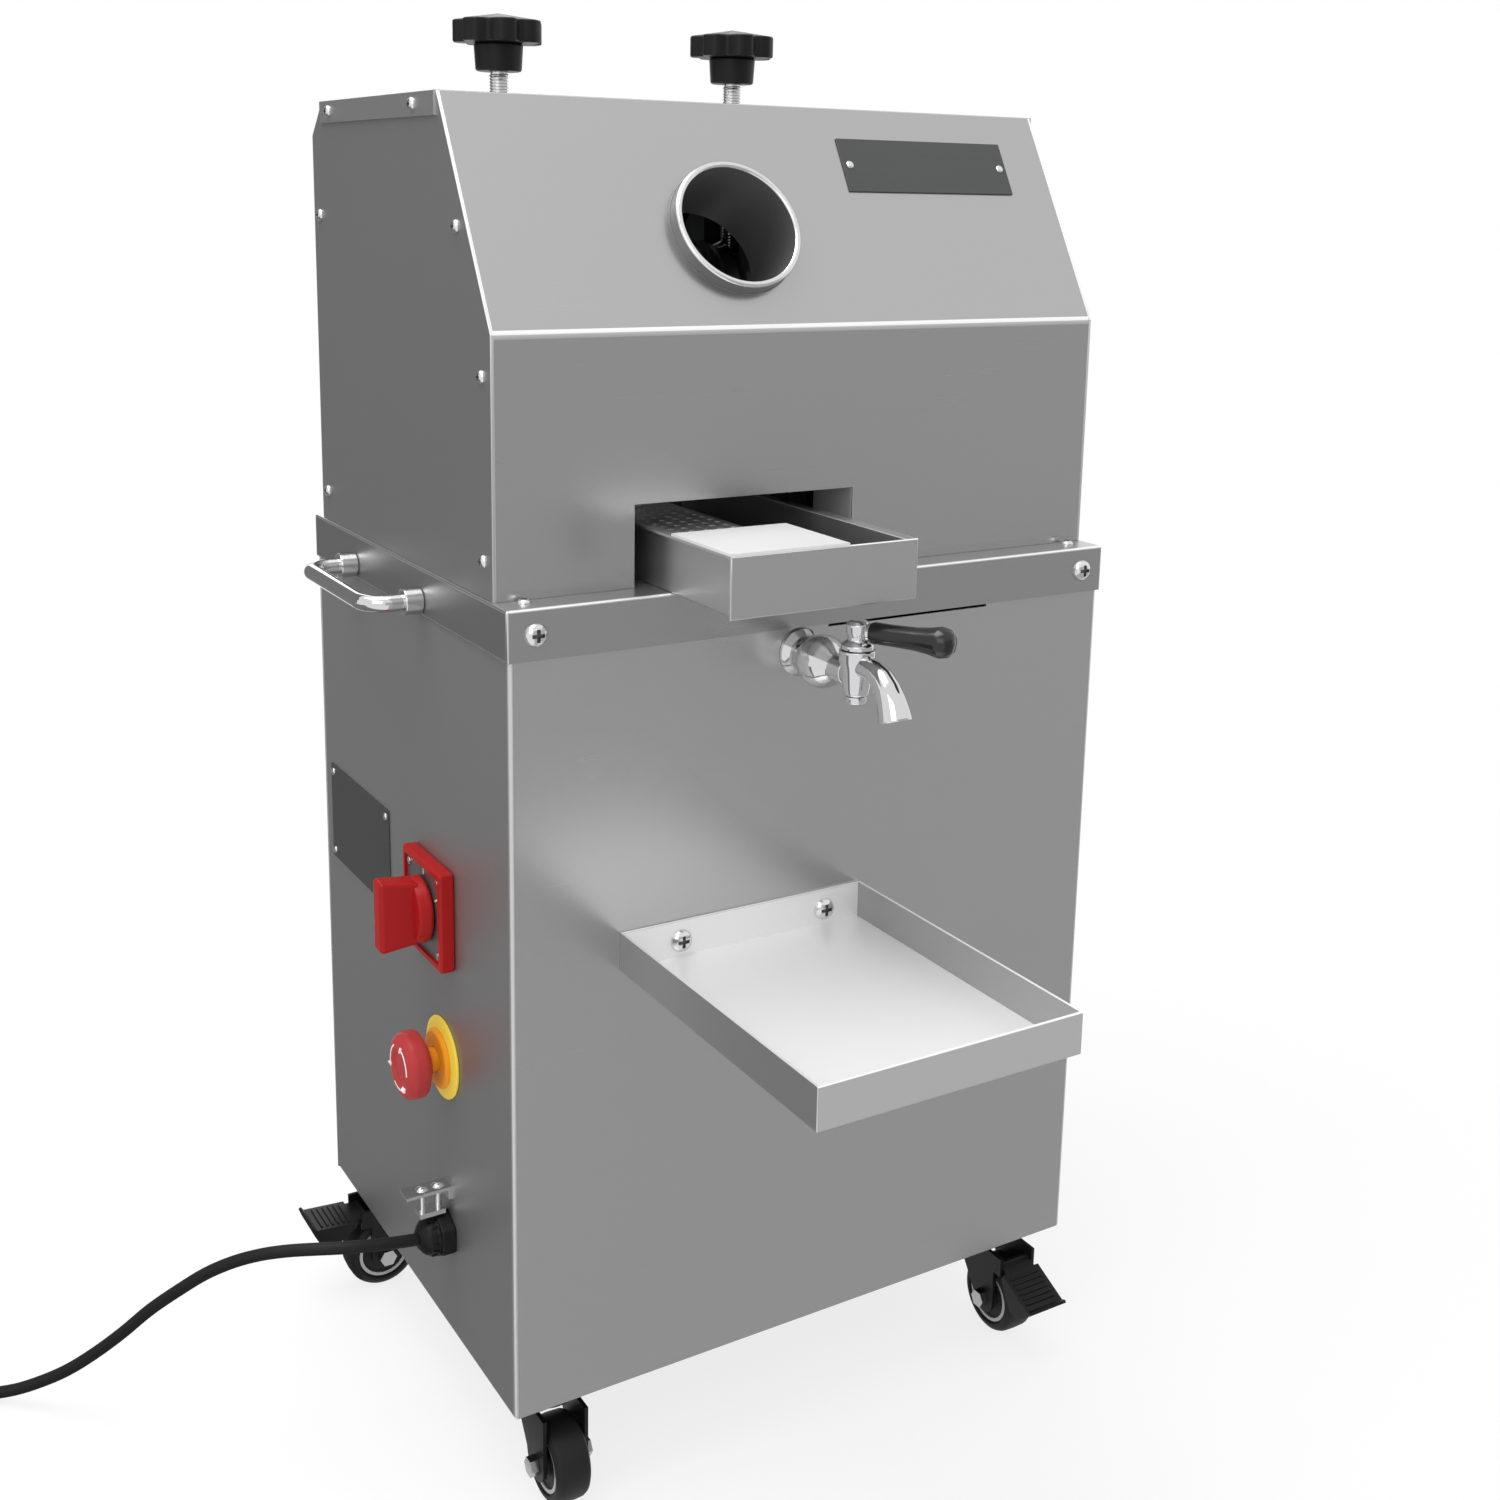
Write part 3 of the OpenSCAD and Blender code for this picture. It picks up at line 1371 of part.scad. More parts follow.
// Involute gear outline about the origin, with a tooth on the +X axis turned by phase degrees
gear_pitch_r = axis_pitch / 2;
gear_base_r = gear_pitch_r * cos(gear_pressure);
gear_tip_r = gear_pitch_r + gear_module;
gear_root_r = gear_pitch_r - gear_root_share * gear_module;
gear_tau = 360 / gear_teeth;
function involute(r) = let (c = acos(min(gear_base_r / r, 1))) tan(c) * 180 / PI - c;
half_tooth = gear_tau / 4 - gear_backlash / 2 / gear_pitch_r * 180 / PI / 2;
flank_low_r = max(gear_base_r, gear_root_r);
function flank_r(i) = flank_low_r + (gear_tip_r - flank_low_r) * i / flank_steps;
function flank_a(r) = half_tooth + involute(gear_pitch_r) - involute(r);
function polar(r, a) = [r * cos(a), r * sin(a)];
function gear_points(phase) = [
    for (k = [0 : gear_teeth - 1])
        let (mid = phase + k * gear_tau)
        each concat(
            [polar(gear_root_r, mid - flank_a(flank_low_r))],
            [for (i = [0 : flank_steps]) polar(flank_r(i), mid - flank_a(flank_r(i)))],
            [for (i = [flank_steps : -1 : 0]) polar(flank_r(i), mid + flank_a(flank_r(i)))],
            [polar(gear_root_r, mid + flank_a(flank_low_r))]
        )
];

module roller_gear(axis, phase) {
    color(iron) translate([gear_x, axis[0], axis[1]]) rotate([90, 0, 90])
        linear_extrude(height = gear_w) difference() {
            polygon(gear_points(phase));
            circle(d = shaft_d + 2 * weld_gap);
        }
}

// A lower gear's phase puts one of its gaps where the top gear has a tooth
function axis_angle(from, to) = atan2(to[1] - from[1], to[0] - from[0]);
function mesh_phase(angle, top_phase) = 2 * angle + 180 - gear_tau / 2 - top_phase;
top_phase = 90;

module top_gear() {
    roller_gear(mill_top, top_phase);
}

module feed_gear() {
    roller_gear(mill_feed, mesh_phase(axis_angle(mill_top, mill_feed), top_phase));
}

module rear_gear() {
    roller_gear(mill_rear, mesh_phase(axis_angle(mill_top, mill_rear), top_phase));
}

// Coupling between the rear roller and the gearbox, with the gearbox's output stub
module drive_coupling() {
    color(iron) {
        bar_x(coupling_d, gear_end, gear_end + coupling_l, mill_rear);
        bar_x(stub_d, gear_end + coupling_l, gearbox_x + output_stub, mill_rear);
    }
}

// Lobed knob on its pressure screw
module pressure_knob(x) {
    hub_z = roof_z + stud_bare;
    color(black) translate([x, mill_top[0], hub_z]) {
        cylinder(h = knob_hub_h, d1 = knob_hub_d, d2 = knob_hub_d - knob_hub_taper);
        translate([0, 0, knob_hub_h]) linear_extrude(height = knob_edge_h) {
            circle(d = knob_disc_d);
            for (i = [0 : knob_lobes - 1]) rotate([0, 0, i * 360 / knob_lobes])
                translate([(knob_d - knob_lobe_d) / 2, 0]) circle(d = knob_lobe_d);
        }
        translate([0, 0, knob_hub_h + knob_edge_h]) dome_head(knob_crown_d, knob_crown);
    }
    color(bright) bar_z(stud_d, screw_bottom, hub_z, [x, mill_top[0]]);
}

module pressure_knob_left() {
    pressure_knob(cheek_xs[0]);
}

module pressure_knob_right() {
    pressure_knob(cheek_xs[1]);
}

cabinet_shell();
cabinet_floor();
cabinet_back();
top_plate();
hood_front();
hood_cover();
hood_end_left();
hood_end_right();
inlet_tube();
bagasse_chute();
name_plate();
data_plate();
carry_handles();
shelf_tray();
skirt_bolts();
panel_screws();
mill_cheek_left();
mill_cheek_right();
mill_bridges();
lower_bushes();
juice_pan();
juice_tank();
gearbox();
motor();
tap_body();
switch_plate();
estop_collar();
cable_gland();
cord_clamp();
mains_cord();
cord_coil();
mains_plug();
caster_plates();
juice_drawer();
drawer_strainer();
top_blocks();
top_roller();
top_gear();
feed_roller();
feed_gear();
rear_roller();
rear_gear();
drive_coupling();
pressure_knob_left();
pressure_knob_right();
tap_plug();
tap_grip();
switch_knob();
estop_stem();
estop_head();
caster_fork_fl();
caster_fork_fr();
caster_fork_bl();
caster_fork_br();
caster_wheel_fl();
caster_wheel_fr();
caster_wheel_bl();
caster_wheel_br();
brake_pedal_fr();
brake_pedal_bl();
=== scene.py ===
"""Looks of an electric sugarcane juicer, with its set, light and camera.

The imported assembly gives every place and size. Each class here dresses one sub-assembly: it copies the
solids' sheets and rolls their folds, or models a fuller piece in the space of a plain solid.
"""

import json
import logging
import math
from collections.abc import Callable, Iterable, Sequence
from dataclasses import dataclass
from enum import Enum, IntEnum

import bmesh
import bpy
from mathutils import Matrix, Vector


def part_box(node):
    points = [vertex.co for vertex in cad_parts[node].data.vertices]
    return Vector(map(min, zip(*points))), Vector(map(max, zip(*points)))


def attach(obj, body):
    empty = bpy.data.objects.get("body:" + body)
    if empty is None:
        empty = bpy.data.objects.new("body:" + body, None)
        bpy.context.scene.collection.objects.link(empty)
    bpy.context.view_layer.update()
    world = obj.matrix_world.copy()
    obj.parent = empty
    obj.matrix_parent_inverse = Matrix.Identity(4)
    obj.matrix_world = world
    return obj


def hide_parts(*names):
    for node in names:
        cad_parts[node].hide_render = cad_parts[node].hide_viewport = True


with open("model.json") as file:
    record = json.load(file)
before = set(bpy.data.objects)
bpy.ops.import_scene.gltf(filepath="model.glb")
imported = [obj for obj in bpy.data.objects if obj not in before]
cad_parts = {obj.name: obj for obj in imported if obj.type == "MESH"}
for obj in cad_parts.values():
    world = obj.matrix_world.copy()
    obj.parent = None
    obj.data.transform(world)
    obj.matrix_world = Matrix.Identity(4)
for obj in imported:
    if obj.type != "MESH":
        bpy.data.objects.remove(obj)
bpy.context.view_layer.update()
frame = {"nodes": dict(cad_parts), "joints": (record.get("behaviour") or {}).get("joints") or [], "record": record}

LOG = logging.getLogger("juicer")
MM = 0.001
WELD = 1e-6
CREASE = math.radians(50.0)
FLATNESS = math.radians(0.5)
NOISE_DETAIL = 3.0
TONE_DARK, TONE_LIGHT = 0.6, 1.4
LEAST_ROUGHNESS = 0.02
FACE_WEIGHT = 90
LEFT = Vector((-1, 0, 0))
RIGHT = Vector((1, 0, 0))
FRONT = Vector((0, -1, 0))
BACK = Vector((0, 1, 0))
UP = Vector((0, 0, 1))
Mesh = bmesh.types.BMesh
Profile = Sequence[tuple[float, float]]


class Body(str, Enum):
    """Moving bodies of the assembly that new pieces ride on."""

    CABINET = "cabinet"
    DRAWER = "drawer"
    TAP = "tap_lever"
    SWITCH = "switch_lever"
    STOP_STEM = "stop_stem"
    STOP_HEAD = "stop_head"


class Grain(Enum):
    """Direction of a surface's fine lines, as noise waves per metre along X, Y and Z."""

    EVEN = (700.0, 700.0, 700.0)
    COARSE = (160.0, 160.0, 160.0)
    LEVEL = (5.0, 5.0, 1300.0)
    ALONG_X = (5.0, 1300.0, 5.0)


class SheetFace(IntEnum):
    """Numbers of a sheet's finishes, by where its faces look and how narrow they are: upright, level and side
    faces get lighter and darker copies of one steel as painted light and shade, narrow faces painted highlights.
    """

    UPRIGHT = 0
    LEVEL = 1
    SIDE = 2
    # Painted highlight and softer painted sheen on narrow faces.
    LIT_EDGE = 3
    EDGE_SHEEN = 4


@dataclass(frozen=True)
class Finish:
    """A procedural surface: its colour and gloss, broken up by fine grain and wider stains.

    Attributes:
        name: Name of the material, without the prefix that keeps it apart from the solids' own.
        color: Base colour, linear.
        metallic: Share of metal.
        roughness: Middle roughness.
        grain: Direction and width of the fine lines.
        tint: Share by which grain and stains lighten and darken the colour.
        haze: How far they move the roughness either way.
        relief: Depth of the grain in metres.
        stain: Waves per metre of the wider stains.
        coat: Weight of a clear coat.
        specular: Strength of the reflection of a surface that isn't metal.
    """

    name: str
    color: tuple[float, float, float]
    metallic: float = 0.0
    roughness: float = 0.4
    grain: Grain = Grain.EVEN
    tint: float = 0.08
    haze: float = 0.06
    relief: float = 0.02 * MM
    stain: float = 9.0
    coat: float = 0.0
    specular: float = 0.5

    def material(self) -> bpy.types.Material:
        """Make the material once, and give the same one afterwards.

        Returns:
            The material.
        """
        label = f"juicer_{self.name}"
        found = bpy.data.materials.get(label)
        if found:
            return found
        made = bpy.data.materials.new(label)
        made.use_nodes = True
        tree = made.node_tree
        shader = tree.nodes["Principled BSDF"]
        shader.inputs["Metallic"].default_value = self.metallic
        shader.inputs["Coat Weight"].default_value = self.coat
        shader.inputs["Specular IOR Level"].default_value = self.specular
        coords = tree.nodes.new("ShaderNodeTexCoord")
        stretch = tree.nodes.new("ShaderNodeMapping")
        stretch.inputs["Scale"].default_value = self.grain.value
        tree.links.new(coords.outputs["Object"], stretch.inputs["Vector"])
        fine = self._noise(tree, stretch.outputs["Vector"], 1.0)
        wide = self._noise(tree, coords.outputs["Object"], self.stain)
        tone = tree.nodes.new("ShaderNodeMath")
        tone.operation = "ADD"
        tree.links.new(fine, tone.inputs[0])
        tree.links.new(wide, tone.inputs[1])
        self._spread_color(tree, tone.outputs[0], shader.inputs["Base Color"])
        self._spread_roughness(tree, tone.outputs[0], shader.inputs["Roughness"])
        bump = tree.nodes.new("ShaderNodeBump")
        bump.inputs["Distance"].default_value = self.relief
        tree.links.new(fine, bump.inputs["Height"])
        tree.links.new(bump.outputs["Normal"], shader.inputs["Normal"])
        return made

    @staticmethod
    def _noise(tree: bpy.types.NodeTree, vector: bpy.types.NodeSocket, scale: float) -> bpy.types.NodeSocket:
        """Add a noise texture.

        Args:
            tree: Node tree to add to.
            vector: Coordinates that it reads.
            scale: Waves per unit of those coordinates.

        Returns:
            Its grey output.
        """
        noise = tree.nodes.new("ShaderNodeTexNoise")
        noise.inputs["Scale"].default_value = scale
        noise.inputs["Detail"].default_value = NOISE_DETAIL
        tree.links.new(vector, noise.inputs["Vector"])
        return noise.outputs["Fac"]

    def _spread_color(self, tree: bpy.types.NodeTree, tone: bpy.types.NodeSocket,
                      target: bpy.types.NodeSocket) -> None:
        """Vary the colour with the tone.

        Args:
            tree: Node tree to add to.
            tone: Sum of the two noises.
            target: Colour socket to feed.
        """
        ramp = tree.nodes.new("ShaderNodeValToRGB")
        dark, light = ramp.color_ramp.elements
        dark.color = (*(c * (1 - self.tint) for c in self.color), 1.0)
        light.color = (*(min(c * (1 + self.tint), 1.0) for c in self.color), 1.0)
        tree.links.new(self._range(tree, tone, 0.0, 1.0), ramp.inputs["Fac"])
        tree.links.new(ramp.outputs["Color"], target)

    def _spread_roughness(self, tree: bpy.types.NodeTree, tone: bpy.types.NodeSocket,
                          target: bpy.types.NodeSocket) -> None:
        """Vary the roughness with the tone.

        Args:
            tree: Node tree to add to.
            tone: Sum of the two noises.
            target: Roughness socket to feed.
        """
        low = max(self.roughness - self.haze, LEAST_ROUGHNESS)
        tree.links.new(self._range(tree, tone, low, self.roughness + self.haze), target)

    @staticmethod
    def _range(tree: bpy.types.NodeTree, tone: bpy.types.NodeSocket, low: float,
               high: float) -> bpy.types.NodeSocket:
        """Map the tone's usual spread on to a range.

        Args:
            tree: Node tree to add to.
            tone: Sum of the two noises.
            low: Value at the tone's dark end.
            high: Value at its light end.

        Returns:
            The mapped output.
        """
        spread = tree.nodes.new("ShaderNodeMapRange")
        spread.inputs["From Min"].default_value = TONE_DARK
        spread.inputs["From Max"].default_value = TONE_LIGHT
        spread.inputs["To Min"].default_value = low
        spread.inputs["To Max"].default_value = high
        tree.links.new(tone, spread.inputs["Value"])
        return spread.outputs["Result"]


BRUSHED = {"tint": 0.006, "haze": 0.004, "relief": 0.00005 * MM}
MOULDED = {"tint": 0.06, "haze": 0.05, "relief": 0.01 * MM, "specular": 0.20}
DYED = {"tint": 0.05, "haze": 0.04, "relief": 0.01 * MM, "specular": 0.14}
# Satin steel for upright faces; the copies below that differ from it in colour are painted light and shade.
STEEL_UPRIGHT = Finish("satin_steel_upright", (0.50, 0.50, 0.50), 0.9, 0.27, Grain.LEVEL, **BRUSHED)
# Lighter copy for level faces, its grain along X: painted light from above.
STEEL_FLAT_LIT = Finish("satin_steel_flat_painted_light", (0.56, 0.56, 0.56), 0.9, 0.30, Grain.ALONG_X, **BRUSHED)
# Darker copy for faces to the left and right: painted shade.
STEEL_SIDE_SHADED = Finish("satin_steel_side_painted_shade", (0.40, 0.40, 0.40), 0.9, 0.46, Grain.LEVEL, **BRUSHED)
# Darker copy for the top plate's front and back skirt: painted shade.
TOP_UPRIGHT_SHADED = Finish("top_steel_upright_painted_shade", (0.40, 0.40, 0.40), 0.9, 0.27, Grain.LEVEL, **BRUSHED)
# Darker copy for the hood's front: painted shade.
HOOD_UPRIGHT_SHADED = Finish("hood_steel_upright_painted_shade", (0.445, 0.445, 0.445), 0.9, 0.27, Grain.LEVEL, **BRUSHED)
# Darker copy for the hood's ends: painted shade.
HOOD_SIDE_SHADED = Finish("hood_steel_side_painted_shade", (0.345, 0.345, 0.345), 0.9, 0.46, Grain.LEVEL, **BRUSHED)
# Lighter copy for the drawer's side walls: painted light.
DRAWER_SIDE_LIT = Finish("drawer_steel_side_painted_light", (0.52, 0.52, 0.52), 0.9, 0.36, Grain.LEVEL, **BRUSHED)
# Near-white for folds and cut edges that face the light, and for the slot's return: painted highlight.
HIGHLIGHT_STEEL = Finish("painted_highlight_steel", (0.92, 0.92, 0.92), 0.6, 0.32, Grain.EVEN, **BRUSHED)
# Mid grey for the other narrow folds and edges: a softer painted sheen.
EDGE_SHEEN_STEEL = Finish("painted_edge_sheen_steel", (0.60, 0.60, 0.60), 0.9, 0.34, Grain.EVEN, **BRUSHED)
# Darker copy for the top plate's side skirts: painted shade.
TOP_SIDE_SHADED = Finish("top_steel_side_painted_shade", (0.30, 0.30, 0.30), 0.9, 0.42, Grain.LEVEL, **BRUSHED)
# Lighter copy for the shelf tray's upright faces: painted light.
TRAY_UPRIGHT_LIT = Finish("tray_steel_upright_painted_light", (0.67, 0.67, 0.67), 0.8, 0.30, Grain.LEVEL, **BRUSHED)
# Near-white copy for the tray's floor and inner walls: painted light and reflection.
TRAY_FLAT_LIT = Finish("tray_steel_flat_painted_light", (0.90, 0.90, 0.90), 0.35, 0.40, Grain.ALONG_X, **BRUSHED)
STEEL_BRIGHT = Finish("bright_steel", (0.72, 0.72, 0.73), 1.0, 0.18, Grain.EVEN, 0.05, 0.06)
# Pale copy of the steel with little metal for the drawer's strainer: painted light for its bright white look.
STRAINER_LIT = Finish("strainer_steel_painted_light", (0.80, 0.80, 0.80), 0.3, 0.42, Grain.ALONG_X, **BRUSHED)
NUT_STEEL = Finish("nut_steel", (0.42, 0.42, 0.43), 1.0, 0.22, Grain.EVEN, 0.05, 0.06)
CHROME = Finish("chrome", (0.66, 0.66, 0.67), 1.0, 0.07, Grain.EVEN, 0.03, 0.03, 0.002 * MM)
PLATE_GREY = Finish("plate_grey", (0.075, 0.076, 0.078), 0.5, 0.42, Grain.LEVEL, 0.10, 0.08)
# Dark grey for the inlet tube's bore and outer wall: painted shade.
BORE_SHADE = Finish("bore_painted_shade", (0.21, 0.21, 0.213), 0.6, 0.40, Grain.EVEN, 0.10, 0.08)
IRON = Finish("mill_iron", (0.16, 0.165, 0.17), 0.7, 0.55, Grain.COARSE, 0.18, 0.10, 0.15 * MM)
BRONZE = Finish("bronze", (0.55, 0.36, 0.14), 1.0, 0.35, Grain.EVEN, 0.10, 0.08)
ZINC = Finish("zinc", (0.030, 0.030, 0.032), 0.4, 0.50, Grain.EVEN, 0.15, 0.10)
BLACK_PLASTIC = Finish("black_plastic", (0.007, 0.007, 0.008), 0.0, 0.42, Grain.EVEN, **MOULDED)
BLACK_GLOSS = Finish("black_gloss", (0.008, 0.008, 0.009), 0.0, 0.20, Grain.EVEN, 0.06, 0.03, specular=0.5)
RUBBER = Finish("black_rubber", (0.011, 0.011, 0.012), 0.0, 0.55, Grain.EVEN, **MOULDED)
TREAD = Finish("tread_rubber", (0.014, 0.014, 0.015), 0.0, 0.55, Grain.COARSE, **MOULDED)
RED = Finish("red_plastic", (0.36, 0.010, 0.010), 0.0, 0.32, Grain.EVEN, **DYED)
STOP_RED = Finish("stop_red", (0.42, 0.040, 0.042), 0.0, 0.34, Grain.EVEN, **DYED)
YELLOW = Finish("yellow_plastic", (0.84, 0.62, 0.070), 0.0, 0.34, Grain.EVEN, **DYED)
AMBER = Finish("amber_plastic", (0.80, 0.30, 0.018), 0.0, 0.34, Grain.EVEN, **DYED)
MARK_WHITE = Finish("white_marks", (0.78, 0.72, 0.68), 0.0, 0.45, Grain.EVEN, **MOULDED)
RIM_GREY = Finish("rim_grey", (0.42, 0.42, 0.42), 0.4, 0.35, Grain.EVEN, 0.08, 0.08)
FACE_GREY = Finish("switch_face", (0.20, 0.205, 0.20), 0.7, 0.35, Grain.LEVEL, 0.08, 0.08)

SLOT_FINISHES = {
    "satin_steel": STEEL_UPRIGHT,
    "bright_steel": STEEL_BRIGHT,
    "chrome": CHROME,
    "grey_plate": PLATE_GREY,
    "mill_iron": IRON,
    "bronze": BRONZE,
    "zinc": ZINC,
    "black_plastic": BLACK_PLASTIC,
    "black_rubber": RUBBER,
    "red_plastic": RED,
    "yellow_plastic": YELLOW,
}
NODE_SLOTS = {part["node"]: part["material_slot"] for part in frame["record"]["subparts"]}
JOINTS = {joint["name"]: joint for joint in frame["joints"]}


def low_of(node: str) -> Vector:
    """Lowest corner of a solid."""
    return Vector(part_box(node)[0])


def high_of(node: str) -> Vector:
    """Highest corner of a solid."""
    return Vector(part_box(node)[1])


def middle_of(node: str) -> Vector:
    """Middle of a solid's box."""
    return (low_of(node) + high_of(node)) / 2


def pivot(joint: str) -> Vector:
    """Point on a joint's axis."""
    return Vector(JOINTS[joint]["pos_m"])


def facing(origin: Vector, out: Vector, up: Vector = UP) -> Matrix:
    """Local axes of a piece that sits on a face.

    Args:
        origin: Place of the piece.
        out: Direction of its local Z, out of the face.
        up: Direction that its local Y leans to.

    Returns:
        Matrix from local axes to the assembly's.
    """
    z = out.normalized()
    x = up.cross(z).normalized()
    y = z.cross(x)
    return Matrix.Translation(origin) @ Matrix((x, y, z)).transposed().to_4x4()


def lathe(profile: Profile, steps: int = 48) -> Mesh:
    """Turn an outline about local Z.

    Args:
        profile: Radius and height of each corner, from one end to the other.
        steps: Faces round the axis.

    Returns:
        The turned mesh, its normals outwards where the outline is closed or starts and ends on the axis.
    """
    bm = bmesh.new()
    verts = [bm.verts.new((radius, 0.0, height)) for radius, height in profile]
    edges = [bm.edges.new(pair) for pair in zip(verts, verts[1:])]
    bmesh.ops.spin(bm, geom=verts + edges, cent=(0, 0, 0), axis=(0, 0, 1), dvec=(0, 0, 0),
                   angle=math.tau, steps=steps, use_merge=True, use_duplicate=False)
    bmesh.ops.remove_doubles(bm, verts=bm.verts[:], dist=WELD)
    bmesh.ops.recalc_face_normals(bm, faces=bm.faces[:])
    return bm


def soften(bm: Mesh, width: float, segments: int = 2, least: float = 30.0,
           pick: Callable[[bmesh.types.BMEdge], bool] | None = None) -> Mesh:
    """Round the sharp edges of a mesh.

    Args:
        bm: Mesh to change.
        width: Width of the rounding.
        segments: Faces across it.
        least: Least angle between two faces, in degrees, that is rounded.
        pick: Further test of an edge.

    Returns:
        The same mesh.
    """
    sharp = [edge for edge in bm.edges if edge.is_manifold
             and edge.calc_face_angle(0.0) > math.radians(least) and (pick is None or pick(edge))]
    bmesh.ops.bevel(bm, geom=sharp, offset=width, segments=segments, profile=0.5, affect="EDGES",
                    material=-1, clamp_overlap=True)
    return bm


def turned(profile: Profile, rounding: float, steps: int = 48, segments: int = 2,
           least: float = 25.0) -> Mesh:
    """Turn an outline about local Z and round its corners.

    Args:
        profile: Radius and height of each corner.
        rounding: Width of the rounding.
        steps: Faces round the axis.
        segments: Faces across the rounding.
        least: Least angle of a corner that is rounded, in degrees.

    Returns:
        The turned mesh.
    """
    return soften(lathe(profile, steps), rounding, segments, least)


def metres(profile: Profile, lift: float = 0.0) -> list[tuple[float, float]]:
    """Turn an outline in millimetres into metres.

    Args:
        profile: Radius and height of each corner in millimetres.
        lift: Height in metres that it is moved up by.

    Returns:
        The outline in metres.
    """
    return [(radius * MM, lift + height * MM) for radius, height in profile]


def round_bore(outline: Profile, bore_r: float) -> list[tuple[float, float]]:
    """Close an outline round a bore.

    Args:
        outline: Radius and height of each corner of the outside, from the foot up.
        bore_r: Radius of the bore.

    Returns:
        The closed outline.
    """
    foot, top = outline[0][1], outline[-1][1]
    return [(bore_r, foot), *outline, (bore_r, top), (bore_r, foot)]


def hexagon(width: float, length: float, rounding: float, segments: int) -> Mesh:
    """Make a six-sided bar along local Z, about the origin.

    Args:
        width: Width over its corners.
        length: Length of the bar.
        rounding: Width of its edges' rounding.
        segments: Faces across it.

    Returns:
        The bar.
    """
    bm = bmesh.new()
    bmesh.ops.create_cone(bm, cap_ends=True, segments=6, radius1=width / 2, radius2=width / 2, depth=length)
    return soften(bm, rounding, segments)


def block(size: Sequence[float], rounding: float, segments: int = 3) -> Mesh:
    """Make a box with rounded edges about the origin.

    Args:
        size: Lengths along X, Y and Z.
        rounding: Width of the rounding.
        segments: Faces across it.

    Returns:
        The box.
    """
    bm = bmesh.new()
    bmesh.ops.create_cube(bm, size=1.0)
    bmesh.ops.scale(bm, vec=Vector(size), verts=bm.verts[:])
    return soften(bm, rounding, segments)


def inner_block(width: float, depth: float, start: float = 1.5 * MM, rounding: float = 1.0 * MM) -> Mesh:
    """Make a contact block that starts behind the wall's sheet.

    Args:
        width: Width of its square.
        depth: How far it reaches behind the wall's outer face.
        start: How far behind that face it starts.
        rounding: Rounding of its edges.

    Returns:
        The block, below the XY plane.
    """
    return shifted(block((width, width, depth - start), rounding, 2), z=-(depth + start) / 2)


def placed(bm: Mesh, matrix: Matrix) -> Mesh:
    """Move a mesh by a matrix.

    Args:
        bm: Mesh to move.
        matrix: Where to.

    Returns:
        The same mesh.
    """
    bmesh.ops.transform(bm, matrix=matrix, verts=bm.verts[:])
    return bm


def shifted(bm: Mesh, x: float = 0.0, y: float = 0.0, z: float = 0.0) -> Mesh:
    """Move a mesh along its own axes."""
    return placed(bm, Matrix.Translation((x, y, z)))


def painted(bm: Mesh, index: int) -> Mesh:
    """Give every face of a mesh one of the piece's finishes, by its number."""
    for face in bm.faces:
        face.material_index = index
    return bm


def joined(parts: Iterable[Mesh]) -> Mesh:
    """Put meshes together into one, and free them.

    Args:
        parts: Meshes to join.

    Returns:
        One mesh.
    """
    whole = bmesh.new()
    for part in parts:
        carrier = bpy.data.meshes.new("carrier")
        part.to_mesh(carrier)
        part.free()
        whole.from_mesh(carrier)
        bpy.data.meshes.remove(carrier)
    return whole


def sweep(path: Sequence[Vector], radii: Sequence[float], sides: int) -> Mesh:
    """Draw a round bar along a path, with its ends closed.

    Args:
        path: Points along the bar's middle.
        radii: Radius at each point.
        sides: Faces round the bar.

    Returns:
        The bar.
    """
    bm = bmesh.new()
    heading = (path[1] - path[0]).normalized()
    turn = UP.rotation_difference(heading).to_matrix().to_4x4()
    start = Matrix.Translation(path[0]) @ turn
    ring = bmesh.ops.create_circle(bm, cap_ends=True, segments=sides, radius=radii[0], matrix=start)["verts"]
    edges = [edge for edge in bm.edges if all(vert in ring for vert in edge.verts)]
    last = len(path) - 1
    for i in range(1, len(path)):
        moved = bmesh.ops.extrude_edge_only(bm, edges=edges)["geom"]
        verts = [item for item in moved if isinstance(item, bmesh.types.BMVert)]
        edges = [item for item in moved if isinstance(item, bmesh.types.BMEdge)]
        ahead = (path[min(i + 1, last)] - path[i - 1]).normalized()
        bend = heading.rotation_difference(ahead).to_matrix().to_4x4()
        heading = ahead
        size = Matrix.Scale(radii[i] / radii[i - 1], 4)
        step = Matrix.Translation(path[i]) @ bend @ size @ Matrix.Translation(-path[i - 1])
        bmesh.ops.transform(bm, matrix=step, verts=verts)
    bmesh.ops.contextual_create(bm, geom=edges)
    bmesh.ops.recalc_face_normals(bm, faces=bm.faces[:])
    return bm


def arc(centre: Vector, start: Vector, end: Vector, steps: int) -> list[Vector]:
    """Points of a quarter bend, without its first point.

    Args:
        centre: Middle of the bend.
        start: From the centre to where the bend starts.
        end: From the centre to where it ends.
        steps: Points to give.

    Returns:
        Points in order.
    """
    turns = [math.pi / 2 * (i + 1) / steps for i in range(steps)]
    return [centre + start * math.cos(turn) + end * math.sin(turn) for turn in turns]


def copy_of(node: str) -> Mesh:
    """Copy a solid's mesh, with its loose triangles welded and its flat faces made whole.

    Args:
        node: Name of the solid.

    Returns:
        The copy.
    """
    bm = bmesh.new()
    bm.from_mesh(frame["nodes"][node].data)
    bmesh.ops.remove_doubles(bm, verts=bm.verts[:], dist=WELD)
    bmesh.ops.dissolve_limit(bm, angle_limit=FLATNESS, verts=bm.verts[:], edges=bm.edges[:])
    return bm


